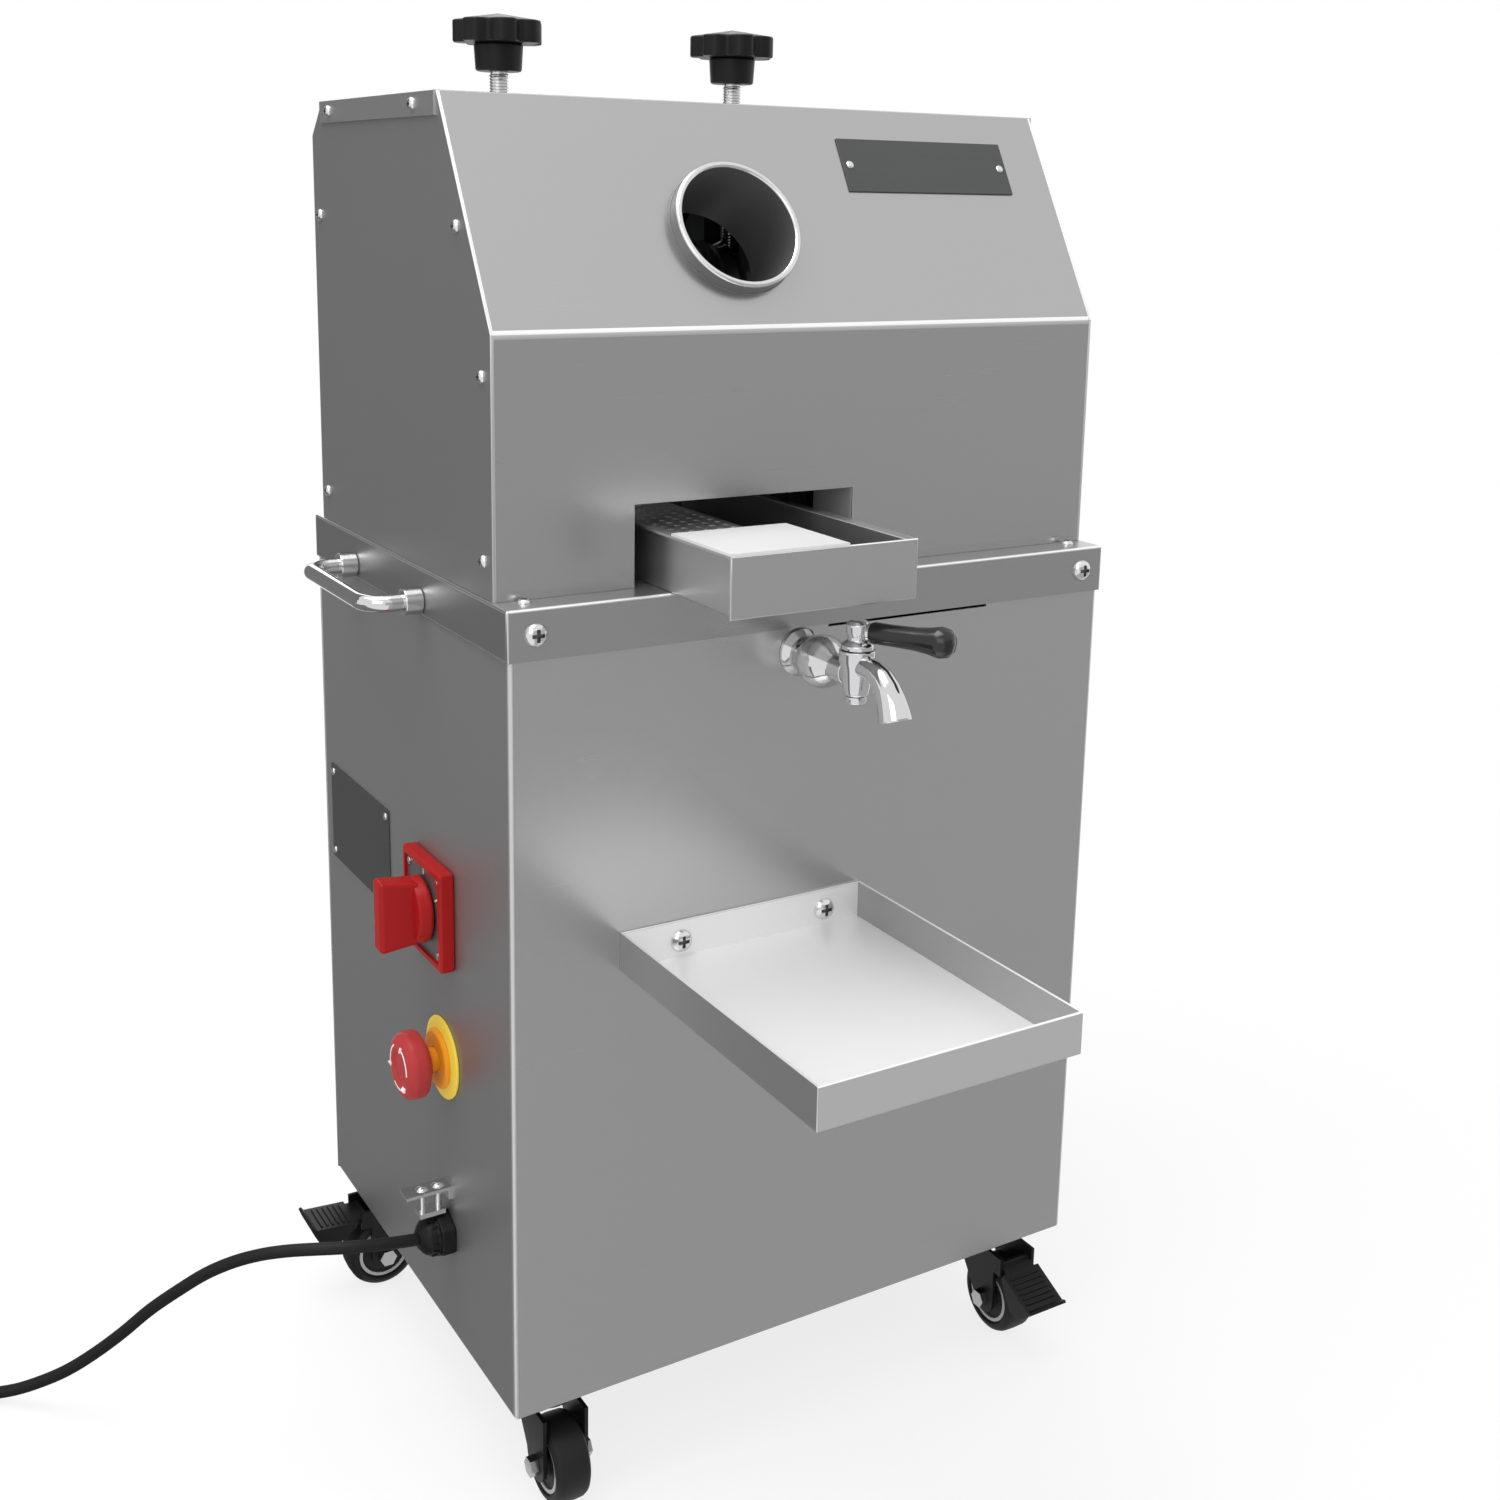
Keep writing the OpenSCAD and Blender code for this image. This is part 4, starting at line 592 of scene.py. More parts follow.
def carved(bm: Mesh, cutter: Mesh) -> Mesh:
    """Cut one closed mesh out of another.

    Args:
        bm: Mesh to cut, which is freed.
        cutter: Mesh that is taken away, which is freed.

    Returns:
        What is left.
    """
    holders = []
    for part in (bm, cutter):
        mesh = bpy.data.meshes.new("carve")
        part.to_mesh(mesh)
        part.free()
        holder = bpy.data.objects.new("carve", mesh)
        bpy.context.scene.collection.objects.link(holder)
        holders.append(holder)
    cut = holders[0].modifiers.new("cut", "BOOLEAN")
    cut.operation = "DIFFERENCE"
    cut.solver = "EXACT"
    cut.object = holders[1]
    bpy.context.view_layer.update()
    left = bmesh.new()
    left.from_object(holders[0], bpy.context.evaluated_depsgraph_get())
    for holder in holders:
        bpy.data.meshes.remove(holder.data)
    return left


def piece(name: str, bm: Mesh, body: str, finishes: Sequence[Finish],
          replaced: Sequence[str] = ()) -> bpy.types.Object:
    """Turn a mesh into a piece of the object.

    Args:
        name: Name of the piece.
        bm: Its mesh in place, which is freed.
        body: Body that it rides on.
        finishes: Finishes that its faces' numbers stand for.
        replaced: Solids that it stands for.

    Returns:
        The piece.
    """
    for face in bm.faces:
        face.smooth = True
    for edge in bm.edges:
        edge.smooth = edge.calc_face_angle(0.0) < CREASE
    mesh = bpy.data.meshes.new(name)
    bm.to_mesh(mesh)
    bm.free()
    for finish in finishes:
        mesh.materials.append(finish.material())
    made = bpy.data.objects.new(name, mesh)
    bpy.context.scene.collection.objects.link(made)
    even = made.modifiers.new("even_faces", "WEIGHTED_NORMAL")
    even.weight = FACE_WEIGHT
    even.keep_sharp = True
    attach(made, body)
    if replaced:
        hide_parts(*replaced)
    LOG.info("%s rides on %s", name, body)
    return made


@dataclass
class SheetWork:
    """Folded sheets: the solids' own sheets with rolled folds and broken edges, their faces painted in lighter and
    darker copies of the steel as light and shade, with painted highlights on folds and edges.

    Attributes:
        fold_r: Outer radius of a fold.
        fold_steps: Faces across a fold.
        fold_angle: Least angle of a fold, in degrees.
        edge_r: Rounding of a cut edge.
        edge_angle: Least angle of an edge that is broken, in degrees.
        inner_r: Rounding of the tray's inner corners.
        inner_least: How far inside the sides of its box a tray's face counts as inner.
        least_face: Least width of a face that counts as sheet and not as its edge.
        least_fold: Least length of a fold.
        least_cut: Least length of an edge that is broken.
        least_shine: Least width of a face that doesn't get a painted highlight like a fold or a cut edge.
        facing_least: Least share of a face's normal along an axis that it looks along.
        tilt_least: Least share of a narrow face's normal upwards that is lit, and downwards that is shaded.
        shade_left: Least share of a narrow face's normal to the left that shades it, if it looks up as well.
        shade_up: Least share of its normal upwards for that.
        slant_share: Share of the hood's height at which its slant starts.
        slot_right: Right edge of the drawer's slot, from the middle.
        slot_rise: Height of the sheet's return there, above the top plate.
        return_deep: How far the return reaches back.
        return_behind: How far behind the hood's front it starts.
        return_foot: Gap between it and the top plate.
        return_t: Thickness of the return.
        return_edge: Rounding of its edges.
        plain: Finishes of upright, level and side faces: one steel in lighter and darker copies, painted light and
            shade by facing.
        nodes: Solids that are sheets.
    """

    fold_r: float = 2.4 * MM
    fold_steps: int = 4
    fold_angle: float = 20.0
    edge_r: float = 0.35 * MM
    edge_angle: float = 40.0
    inner_r: float = 1.2 * MM
    inner_least: float = 1.0 * MM
    least_face: float = 4.0 * MM
    least_fold: float = 20.0 * MM
    least_cut: float = 1.0 * MM
    least_shine: float = 2.0 * MM
    facing_least: float = 0.7
    tilt_least: float = 0.3
    shade_left: float = 0.1
    shade_up: float = 0.5
    slant_share: float = 0.53
    slot_right: float = 25.0 * MM
    slot_rise: float = 45.6 * MM
    return_deep: float = 40.0 * MM
    return_behind: float = 1.6 * MM
    return_foot: float = 0.4 * MM
    return_t: float = 1.0 * MM
    return_edge: float = 0.2 * MM
    plain: tuple[Finish, ...] = (STEEL_UPRIGHT, STEEL_FLAT_LIT, STEEL_SIDE_SHADED)
    nodes: tuple[str, ...] = (
        "cabinet_shell", "cabinet_back", "top_plate", "hood_front", "hood_cover", "hood_end_left",
        "hood_end_right", "bagasse_chute", "shelf_tray", "juice_drawer", "drawer_strainer",
    )

    def build(self) -> None:
        """Dress every sheet."""
        # Each sheet's lighter and darker copies of the steel for upright, level and side faces: painted light and
        # shade.
        lit_and_shaded = {
            "top_plate": (TOP_UPRIGHT_SHADED, STEEL_FLAT_LIT, TOP_SIDE_SHADED),
            "hood_front": (HOOD_UPRIGHT_SHADED, STEEL_FLAT_LIT, STEEL_SIDE_SHADED),
            "hood_end_left": (STEEL_UPRIGHT, STEEL_FLAT_LIT, HOOD_SIDE_SHADED),
            "hood_end_right": (STEEL_UPRIGHT, STEEL_FLAT_LIT, HOOD_SIDE_SHADED),
            "juice_drawer": (STEEL_UPRIGHT, STEEL_FLAT_LIT, DRAWER_SIDE_LIT),
            "shelf_tray": (TRAY_UPRIGHT_LIT, TRAY_FLAT_LIT, STEEL_SIDE_SHADED),
            "drawer_strainer": (STRAINER_LIT, STRAINER_LIT, STRAINER_LIT),
        }
        for node in self.nodes:
            body = Body.DRAWER if "drawer" in node else Body.CABINET
            bm = copy_of(node)
            soften(bm, self.fold_r, self.fold_steps, self.fold_angle, self._is_fold)
            soften(bm, self.edge_r, 2, self.edge_angle, self._is_cut)
            self._paint_by_facing(bm)
            if node == "shelf_tray":
                self._paint_inside(bm, node)
                soften(bm, self.inner_r, 2, self.edge_angle, self._is_inner)
            if node != "drawer_strainer":
                self._paint_narrow(bm, node)
            # The last two finishes are the painted highlight and the softer painted sheen of narrow faces.
            finishes = (*lit_and_shaded.get(node, self.plain), HIGHLIGHT_STEEL, EDGE_SHEEN_STEEL)
            piece(f"{node}_sheet", bm, body.value, finishes, [node])
        self._slot_return()

    def _is_fold(self, edge: bmesh.types.BMEdge) -> bool:
        """Tell whether an edge is the outside of a fold between two faces of sheet.

        Args:
            edge: Edge to test.

        Returns:
            True for a fold.
        """
        length = edge.calc_length()
        wide = all(face.calc_area() > self.least_face * length for face in edge.link_faces)
        return wide and edge.is_convex and length > self.least_fold

    def _is_cut(self, edge: bmesh.types.BMEdge) -> bool:
        """Tell whether an edge bounds the thin cut face of a sheet."""
        return edge.is_convex and edge.calc_length() > self.least_cut

    @staticmethod
    def _is_inner(edge: bmesh.types.BMEdge) -> bool:
        """Tell whether an edge is the inside of a corner."""
        return not edge.is_convex

    def _paint_narrow(self, bm: Mesh, node: str) -> None:
        """Paint highlights on narrow folds and cut edges: a bright one where they look up or lie above the hood's
        slant, a softer sheen on the other ones that aren't shaded.

        Args:
            bm: Mesh of the sheet.
            node: Name of its solid.
        """
        low, high = low_of(node).z, high_of(node).z
        slant = low + self.slant_share * (high - low) if node == "hood_front" else high
        for face in bm.faces:
            length = max(edge.calc_length() for edge in face.edges)
            left_up = face.normal.x < -self.shade_left and face.normal.z > self.shade_up
            shaded = left_up or face.normal.z < -self.tilt_least
            if face.calc_area() < self.least_shine * length and not shaded:
                lit = face.normal.z > self.tilt_least or face.calc_center_median().z > slant
                face.material_index = SheetFace.LIT_EDGE if lit else SheetFace.EDGE_SHEEN

    def _slot_return(self) -> None:
        """Fold the sheet back at the right of the drawer's slot, the whole return in the painted highlight finish.
        """
        plate_z, front_y = high_of("top_plate").z, low_of("hood_front").y
        low = Vector((self.slot_right, front_y + self.return_behind, plate_z + self.return_foot))
        high = Vector((self.slot_right + self.return_t, low.y + self.return_deep, plate_z + self.slot_rise))
        flange = shifted(block(high - low, self.return_edge, 2), *((low + high) / 2))
        # The return carries the near-white painted highlight finish.
        piece("slot_return", flange, Body.CABINET.value, (HIGHLIGHT_STEEL,))

    def _paint_by_facing(self, bm: Mesh) -> None:
        """Paint level faces and faces to the left and right with their own copies of the steel, lighter or darker
        than the upright ones: painted light and shade by facing.
        """
        for face in bm.faces:
            level, side = (abs(share) > self.facing_least for share in (face.normal.z, face.normal.x))
            face.material_index = SheetFace.LEVEL if level else SheetFace.SIDE if side else SheetFace.UPRIGHT

    def _paint_inside(self, bm: Mesh, node: str) -> None:
        """Paint a tray's inner faces with the near-white copy of its floor, as painted light and reflection, but
        for those to the left and right.

        Args:
            bm: Mesh of the tray.
            node: Name of its solid.
        """
        low, high = low_of(node), high_of(node)
        for face in bm.faces:
            spot = face.calc_center_median()
            depths = (min(c - a, b - c) for a, c, b in zip(low.xy, spot.xy, high.xy))
            inside = all(depth > self.inner_least for depth in depths)
            if inside and abs(face.normal.x) < self.facing_least:
                face.material_index = SheetFace.LEVEL


@dataclass
class Fasteners:
    """Heads of the screws, bolts and rivets, each on the place of its solid.

    Attributes:
        dome_shares: Outline of a head, as shares of its radius and its height.
        steps: Faces round a head.
        slot_share: Width of the driver's recess as a share of the head.
        cross_share: Length of the recess as a share of the head's radius.
        depth_share: Its depth as a share of the head's height.
        recess_r: Rounding of the recess.
        least_recess: Height above which a head has a recess.
        upward: Least share of a direction upwards that counts as up.
    """

    dome_shares: Profile = ((0.0, 0.0), (1.0, 0.0), (1.0, 0.25), (0.86, 0.66), (0.55, 0.92), (0.0, 1.0))
    steps: int = 24
    slot_share: float = 0.16
    cross_share: float = 1.1
    depth_share: float = 0.55
    recess_r: float = 0.1 * MM
    least_recess: float = 2.0 * MM
    upward: float = 0.9

    def build(self) -> None:
        """Model a head on each place where the solids have one."""
        for node in ("panel_screws", "skirt_bolts"):
            heads = [self._head(*spot) for spot in self._spots(node)]
            # Walls of the driver's recess get the dark iron: painted shade.
            finishes = (STEEL_BRIGHT, IRON)
            piece(f"{node}_heads", joined(heads), Body.CABINET.value, finishes, [node])

    @staticmethod
    def _spots(node: str) -> list[tuple[Vector, Vector, float, float]]:
        """Find the heads of a node of separate dome solids.

        Args:
            node: Name of the node.

        Returns:
            For each head the middle of its seat, the way out, its width and its height.
        """
        bm = copy_of(node)
        spots = []
        left = set(bm.verts)
        while left:
            island = {left.pop()}
            front = list(island)
            while front:
                near = {edge.other_vert(vert) for vert in front for edge in vert.link_edges}
                front = list(near - island)
                island |= near
            left -= island
            seat = max((face for vert in island for face in vert.link_faces), key=lambda f: f.calc_area())
            middle = seat.calc_center_bounds()
            out = -seat.normal.copy()
            height = max((vert.co - middle).dot(out) for vert in island)
            width = 2 * max((vert.co - middle).length for vert in seat.verts)
            spots.append((middle.copy(), out, width, height))
        bm.free()
        return spots

    def _head(self, seat: Vector, out: Vector, width: float, height: float) -> Mesh:
        """Model one head with its driver recess, the recess's walls dark iron as painted shade.

        Args:
            seat: Middle of the seat.
            out: Way out of the surface.
            width: Width of the head.
            height: Height of the head.

        Returns:
            The head in place.
        """
        r = width / 2
        dome = lathe([(across * r, rise * height) for across, rise in self.dome_shares], self.steps)
        if height > self.least_recess:
            long, narrow = self.cross_share * r, self.slot_share * width
            lift = height / 2 + height * (1 - self.depth_share)
            # The cutter's faces, painted with the second finish, become the recess walls in dark iron: painted
            # shade.
            for bar in ((long, narrow, height), (narrow, long, height)):
                dome = carved(dome, painted(shifted(block(bar, self.recess_r, 1), z=lift), 1))
        up = UP if abs(out.z) < self.upward else BACK
        return placed(dome, facing(seat, out, up))


@dataclass
class CaneInlet:
    """Mouth of the cane inlet: a tube with a bright rolled lip, its bore and outer wall dark grey as painted
    shade.

    Attributes:
        steps: Faces round the tube.
        lip_steps: Faces over the lip.
        wall_gap: How near to a wall's radius a face counts as wall.
    """

    steps: int = 96
    lip_steps: int = 10
    wall_gap: float = 0.1 * MM

    def build(self) -> None:
        """Turn the tube about the inlet's own axis."""
        mount = next(item for item in frame["record"]["mounts"] if item["name"] == "cane_inlet")
        bore_r = mount["dims"]["r_mm"] * MM
        half = mount["dims"]["length_mm"] * MM / 2
        outer_r = (high_of("inlet_tube").x - low_of("inlet_tube").x) / 2
        lip_r = (outer_r - bore_r) / 2
        roll = [(bore_r + lip_r - lip_r * math.cos(turn), half - lip_r + lip_r * math.sin(turn))
                for turn in (math.pi * i / self.lip_steps for i in range(self.lip_steps + 1))]
        tube = lathe([(bore_r, -half), *roll, (outer_r, -half), (bore_r, -half)], self.steps)
        # The bore and the outer wall get the dark grey: painted shade inside the tube and on its outside.
        for face in tube.faces:
            reach = face.calc_center_median().xy.length
            face.material_index = int(reach < bore_r + self.wall_gap or reach > outer_r - self.wall_gap)
        place = facing(Vector(mount["pos_m"]), Vector(mount["axis"]))
        finishes = (STEEL_BRIGHT, BORE_SHADE)
        mouth = placed(tube, place)
        piece("inlet_mouth", mouth, Body.CABINET.value, finishes, ["inlet_tube"])


@dataclass
class BarePlates:
    """The two plain plates, with rounded edges.

    Attributes:
        rounding: Rounding of their edges.
    """

    rounding: float = 0.35 * MM

    def build(self) -> None:
        """Dress both plates."""
        for node in ("name_plate", "data_plate"):
            bm = soften(copy_of(node), self.rounding, 2)
            piece(f"{node}_blank", bm, Body.CABINET.value, (PLATE_GREY,), [node])


@dataclass
class PressureKnobs:
    """Lobed knobs on threaded studs.

    Attributes:
        hub_d: Width of the hub.
        hub_h: Height of the hub.
        hub_taper: How much its radius grows on the way up.
        hub_edge: Rounding of its edges.
        edge_h: Height of the lobes' edge.
        crown: Rise of the top's middle above the edge.
        lobes: Number of lobes.
        lobe_steps: Points along each lobe.
        lobe_edge: Rounding of the lobes' edges.
        lobe_angle: Least angle of an edge that is rounded there, in degrees.
        dip: How far the outline falls back between two lobes.
        pitch: Pitch of the thread.
        thread_share: Depth of the thread as a share of its pitch.
        crest_shares: Where the thread's crest starts and ends, as shares of its pitch.
        thread_steps: Faces round the stud.
        thread_weld: Distance within which its turns are joined.
        stud_d: Width of the stud.
    """

    hub_d: float = 29 * MM
    hub_h: float = 16 * MM
    hub_taper: float = 1 * MM
    hub_edge: float = 1.5 * MM
    edge_h: float = 13 * MM
    crown: float = 4 * MM
    lobes: int = 7
    lobe_steps: int = 16
    lobe_edge: float = 1.2 * MM
    lobe_angle: float = 50.0
    dip: float = 5.0 * MM
    pitch: float = 1.75 * MM
    thread_share: float = 0.6
    crest_shares: tuple[float, float] = (0.42, 0.58)
    thread_steps: int = 24
    thread_weld: float = 0.01 * MM
    stud_d: float = 12 * MM

    def build(self) -> None:
        """Model both knobs."""
        for side in ("left", "right"):
            node = f"pressure_knob_{side}"
            axis = pivot(f"knob_{side}_turn")
            low, high = low_of(node), high_of(node)
            hub_z = high.z - self.crown - self.edge_h - self.hub_h
            top = self._head((high.x - low.x) / 2)
            stud = self._stud(low.z, hub_z)
            knob = joined([painted(shifted(top, z=hub_z), 0), painted(stud, 1)])
            piece(f"{node}_star", shifted(knob, axis.x, axis.y), f"knob_{side}",
                  (BLACK_PLASTIC, STEEL_BRIGHT), [node])

    def _head(self, reach: float) -> Mesh:
        """Model the hub and the lobed top, standing on the XY plane.

        Args:
            reach: Radius over the lobes.

        Returns:
            The head.
        """
        hub_r = self.hub_d / 2
        side = [(0.0, 0.0), (hub_r - self.hub_taper, 0.0), (hub_r, self.hub_h), (0.0, self.hub_h)]
        hub = soften(lathe(side), self.hub_edge, 3)
        star = bmesh.new()
        points = self.lobes * self.lobe_steps
        ring = bmesh.ops.create_circle(star, cap_ends=True, segments=points, radius=reach)["verts"]
        for vert in ring:
            turn = math.atan2(vert.co.y, vert.co.x)
            wave = (1 - math.cos(self.lobes * turn)) / 2
            vert.co *= 1 - self.dip / reach * wave ** 2
        top = bmesh.ops.extrude_face_region(star, geom=star.faces[:])["geom"]
        verts = [item for item in top if isinstance(item, bmesh.types.BMVert)]
        bmesh.ops.translate(star, vec=(0, 0, self.edge_h), verts=verts)
        bmesh.ops.recalc_face_normals(star, faces=star.faces[:])
        soften(star, self.lobe_edge, 3, self.lobe_angle)
        cap = max(star.faces, key=lambda face: face.calc_center_bounds().z)
        bmesh.ops.poke(star, faces=[cap], offset=self.crown)
        return joined([hub, shifted(star, z=self.hub_h)])

    def _stud(self, low: float, high: float) -> Mesh:
        """Wind the thread of a stud.

        Args:
            low: Height of its lower end.
            high: Height where the hub starts.

        Returns:
            The stud about the Z axis.
        """
        crest = self.stud_d / 2
        root = crest - self.thread_share * self.pitch
        steps = self.thread_steps
        turns = int((high - low) / self.pitch) - 1
        bm = bmesh.new()
        outline = [(root, 0.0), *((crest, share) for share in self.crest_shares), (root, 1.0)]
        verts = [bm.verts.new((r, 0.0, low + share * self.pitch)) for r, share in outline]
        edges = [bm.edges.new(pair) for pair in zip(verts, verts[1:])]
        bmesh.ops.spin(bm, geom=verts + edges, cent=(0, 0, 0), axis=(0, 0, 1),
                       dvec=(0, 0, self.pitch / steps), angle=math.tau * turns, steps=steps * turns,
                       use_merge=False, use_duplicate=False)
        bmesh.ops.remove_doubles(bm, verts=bm.verts[:], dist=self.thread_weld)
        bmesh.ops.recalc_face_normals(bm, faces=bm.faces[:])
        core = lathe([(0.0, low), (root, low), (root, high), (0.0, high)], steps)
        return joined([bm, core])


@dataclass
class CarryHandles:
    """Bow handles of chromed bar in ferrules.

    Attributes:
        bar_d: Width of the bar.
        bar_sides: Faces round the bar.
        leg_in: Distance of a leg's middle from the end of the handle.
        ferrule_d: Width of a ferrule.
        ferrule_l: Length of a ferrule.
        ferrule_edge: Rounding of its edges.
        ferrule_grip: How far its bore bites into the bar.
        elbow_r: Radius of a bend.
        elbow_steps: Points along a bend.
    """

    bar_d: float = 10 * MM
    bar_sides: int = 32
    leg_in: float = 8 * MM
    ferrule_d: float = 15.5 * MM
    ferrule_l: float = 11 * MM
    ferrule_edge: float = 1.0 * MM
    ferrule_grip: float = 0.2 * MM
    elbow_r: float = 14 * MM
    elbow_steps: int = 10

    def build(self) -> None:
        """Model both handles."""
        low, high = low_of("carry_handles"), high_of("carry_handles")
        skirt_low, skirt_high = low_of("top_plate"), high_of("top_plate")
        middle = Vector((0, (low.y + high.y) / 2, (low.z + high.z) / 2))
        half = (high.y - low.y) / 2 - self.leg_in
        bars = []
        for wall, tip, out in ((skirt_low.x, low.x, LEFT), (skirt_high.x, high.x, RIGHT)):
            reach = abs(tip - wall) - self.bar_d / 2
            bars.append(placed(self._bow(half, reach), facing(Vector((wall, middle.y, middle.z)), out)))
        piece("bow_handles", joined(bars), Body.CABINET.value, (CHROME,), ["carry_handles"])

    def _bow(self, half: float, reach: float) -> Mesh:
        """Bend one handle: legs along local Z, bar along local X.

        Args:
            half: Half the distance between the legs.
            reach: Distance of the bar's middle from the wall.

        Returns:
            The handle.
        """
        r = self.elbow_r
        start = Vector((-half, 0, 0))
        path = [start, start + UP * (reach - r)]
        path += arc(Vector((-half + r, 0, reach - r)), LEFT * r, UP * r, self.elbow_steps)
        path.append(Vector((half - r, 0, reach)))
        path += arc(Vector((half - r, 0, reach - r)), UP * r, RIGHT * r, self.elbow_steps)
        path.append(Vector((half, 0, 0)))
        bar = sweep(path, [self.bar_d / 2] * len(path), self.bar_sides)
        ring_r = self.ferrule_d / 2
        outline = round_bore([(ring_r, 0.0), (ring_r, self.ferrule_l)], self.bar_d / 2 - self.ferrule_grip)
        rings = [shifted(soften(lathe(outline), self.ferrule_edge, 3), side * half) for side in (-1, 1)]
        return joined([bar, *rings])


@dataclass
class Tap:
    """Chromed tap: flange, swelling body, tapered plug housing, bent spout, and the lever with its grip.

    Attributes:
        neck: Radius and distance from the wall along the body, from flange to housing, in millimetres.
        pipe_r: Radius of the pipe behind the wall.
        body_edge: Rounding of the body's corners.
        house: Radius and height of the plug housing's outside, from the tap's axis, in millimetres.
        house_edge: Rounding of the housing's and the spout's corners.
        plug_r: Radius of the turning plug.
        plug_gap: Gap round the plug.
        plug_edge: Rounding of its corners.
        end_gap: Gap between the housing's ends and the plug.
        spout: Distance in front of the plug, height and radius along the spout, in millimetres.
        spout_angle: Least angle of an edge of the spout that is rounded, in degrees.
        mouth: Radius and height of the spout's bore at its ends, from its mouth, in millimetres.
        nut_d: Width of the nut inside the tank over its corners.
        nut_w: Width of that nut along the pipe.
        nut_edge: Rounding of its edges.
        tank_t: Thickness of the tank's wall.
        tail: Radius and height of the plug's lower end, from its foot, in millimetres.
        cap: Radius and height of the plug's cap and hub above the housing, in millimetres.
        arm: Radius and distance from the hub along the lever's arm, in millimetres.
        grip: Radius and distance from the hub along the grip, in millimetres.
        bar_sides: Faces round spout and arm.
        grip_sides: Faces round the grip.
    """

    neck: Profile = (
        (14.0, 0.0), (14.0, 1.8), (12.8, 3.6), (10.8, 7.0), (10.9, 9.5), (13.4, 15.5), (14.7, 20.5),
        (15.0, 24.0), (14.4, 28.2), (12.2, 32.8), (9.0, 36.4), (7.6, 39.0), (7.5, 50.0), (0.0, 50.0),
    )
    pipe_r: float = 10.5 * MM
    body_edge: float = 0.6 * MM
    house: Profile = ((6.2, -11.0), (7.0, -10.0), (7.7, -6.5), (9.0, 5.0), (10.0, 8.0), (10.0, 14.5))
    house_edge: float = 0.5 * MM
    plug_r: float = 4.5 * MM
    plug_gap: float = 0.05 * MM
    plug_edge: float = 0.4 * MM
    end_gap: float = 0.3 * MM
    spout: tuple[tuple[float, float, float], ...] = (
        (3.0, 6.5, 6.2), (11.0, 6.6, 6.2), (18.0, 5.6, 6.4), (24.0, 3.0, 6.8), (29.0, -1.4, 7.3),
        (32.6, -6.6, 8.0), (35.0, -11.6, 8.7), (36.4, -15.2, 9.1), (36.8, -16.4, 9.2),
    )
    spout_angle: float = 50.0
    mouth: Profile = ((6.4, -9.0), (7.4, 2.0))
    nut_d: float = 30 * MM
    nut_w: float = 10 * MM
    nut_edge: float = 1.0 * MM
    tank_t: float = 1.5 * MM
    tail: Profile = ((0.0, 0.0), (3.4, 0.0), (5.4, 1.0), (6.0, 2.0))
    cap: Profile = (
        (9.0, 0.0), (9.0, 2.6), (7.4, 4.0), (5.8, 5.0), (5.4, 7.0), (6.5, 9.5), (6.5, 14.0), (4.8, 15.6),
        (0.0, 16.0),
    )
    arm: Profile = (
        (0.0, 2.0), (3.0, 2.0), (3.0, 5.8), (5.0, 6.2), (5.0, 7.9), (3.0, 7.9), (3.0, 43.4), (0.0, 44.0),
    )
    grip: Profile = (
        (3.1, 8.0), (5.4, 8.0), (6.0, 9.6), (5.9, 20.0), (6.3, 34.0), (7.3, 42.0), (8.3, 46.4),
        (8.5, 48.6), (7.6, 52.6), (5.0, 55.2), (0.0, 56.0),
    )
    bar_sides: int = 32
    grip_sides: int = 40

    def build(self) -> None:
        """Model the fixed body and the turning lever."""
        self.axis = pivot("tap_turn")
        self._body()
        self._lever()

    def _body(self) -> None:
        """Model flange, pipe, housing and spout as one chromed piece."""
        axis = self.axis
        wall = low_of("cabinet_shell").y
        inner = high_of("tap_body").y - wall
        neck = [(0.0, -inner), (self.pipe_r, -inner), (self.pipe_r, 0.0), *metres(self.neck)]
        body = placed(turned(neck, self.body_edge), facing(Vector((axis.x, wall, axis.z)), FRONT))
        rings = round_bore(metres(self.house), self.plug_r + self.plug_gap)
        house = shifted(turned(rings, self.house_edge), *axis)
        seat = Vector((axis.x, low_of("juice_tank").y + self.nut_w / 2 + self.tank_t, axis.z))
        nut = placed(hexagon(self.nut_d, self.nut_w, self.nut_edge, 2), facing(seat, BACK))
        fixed = joined([body, house, self._spout(), nut])
        piece("tap_chrome", fixed, Body.CABINET.value, (CHROME,), ["tap_body"])

    def _spout(self) -> Mesh:
        """Bend the spout forwards and down, with its mouth open.

        Returns:
            The spout.
        """
        path = [self.axis + Vector((0, -out, up)) * MM for out, up, _ in self.spout]
        bar = sweep(path, [radius * MM for _, _, radius in self.spout], self.bar_sides)
        solid = soften(bar, self.house_edge, 2, self.spout_angle)
        ahead = path[-1] - path[-2]
        inner, outer = metres(self.mouth)
        bore = lathe([(0.0, inner[1]), inner, outer, (0.0, outer[1])], self.bar_sides)
        return carved(solid, placed(bore, facing(path[-1], ahead)))

    def _lever(self) -> None:
        """Model the plug with its cap and arm, and the grip on the arm."""
        axis = self.axis
        low = low_of("tap_plug").z - axis.z
        foot = self.house[0][1] * MM - self.end_gap
        seat = self.house[-1][1] * MM + self.end_gap
        tail = metres(self.tail, low)
        stem = [(tail[-1][0], foot), (self.plug_r, foot), (self.plug_r, seat)]
        plug = shifted(turned([*tail, *stem, *metres(self.cap, seat)], self.plug_edge), *axis)
        grip = middle_of("tap_grip")
        hub = Vector((axis.x, axis.y, grip.z))
        place = facing(hub, grip - hub)
        arm = placed(lathe(metres(self.arm), self.bar_sides), place)
        piece("tap_plug_lever", joined([plug, arm]), Body.TAP.value, (CHROME,), ["tap_plug"])
        cover = placed(lathe(metres(self.grip), self.grip_sides), place)
        piece("tap_grip_cover", cover, Body.TAP.value, (BLACK_GLOSS,), ["tap_grip"])


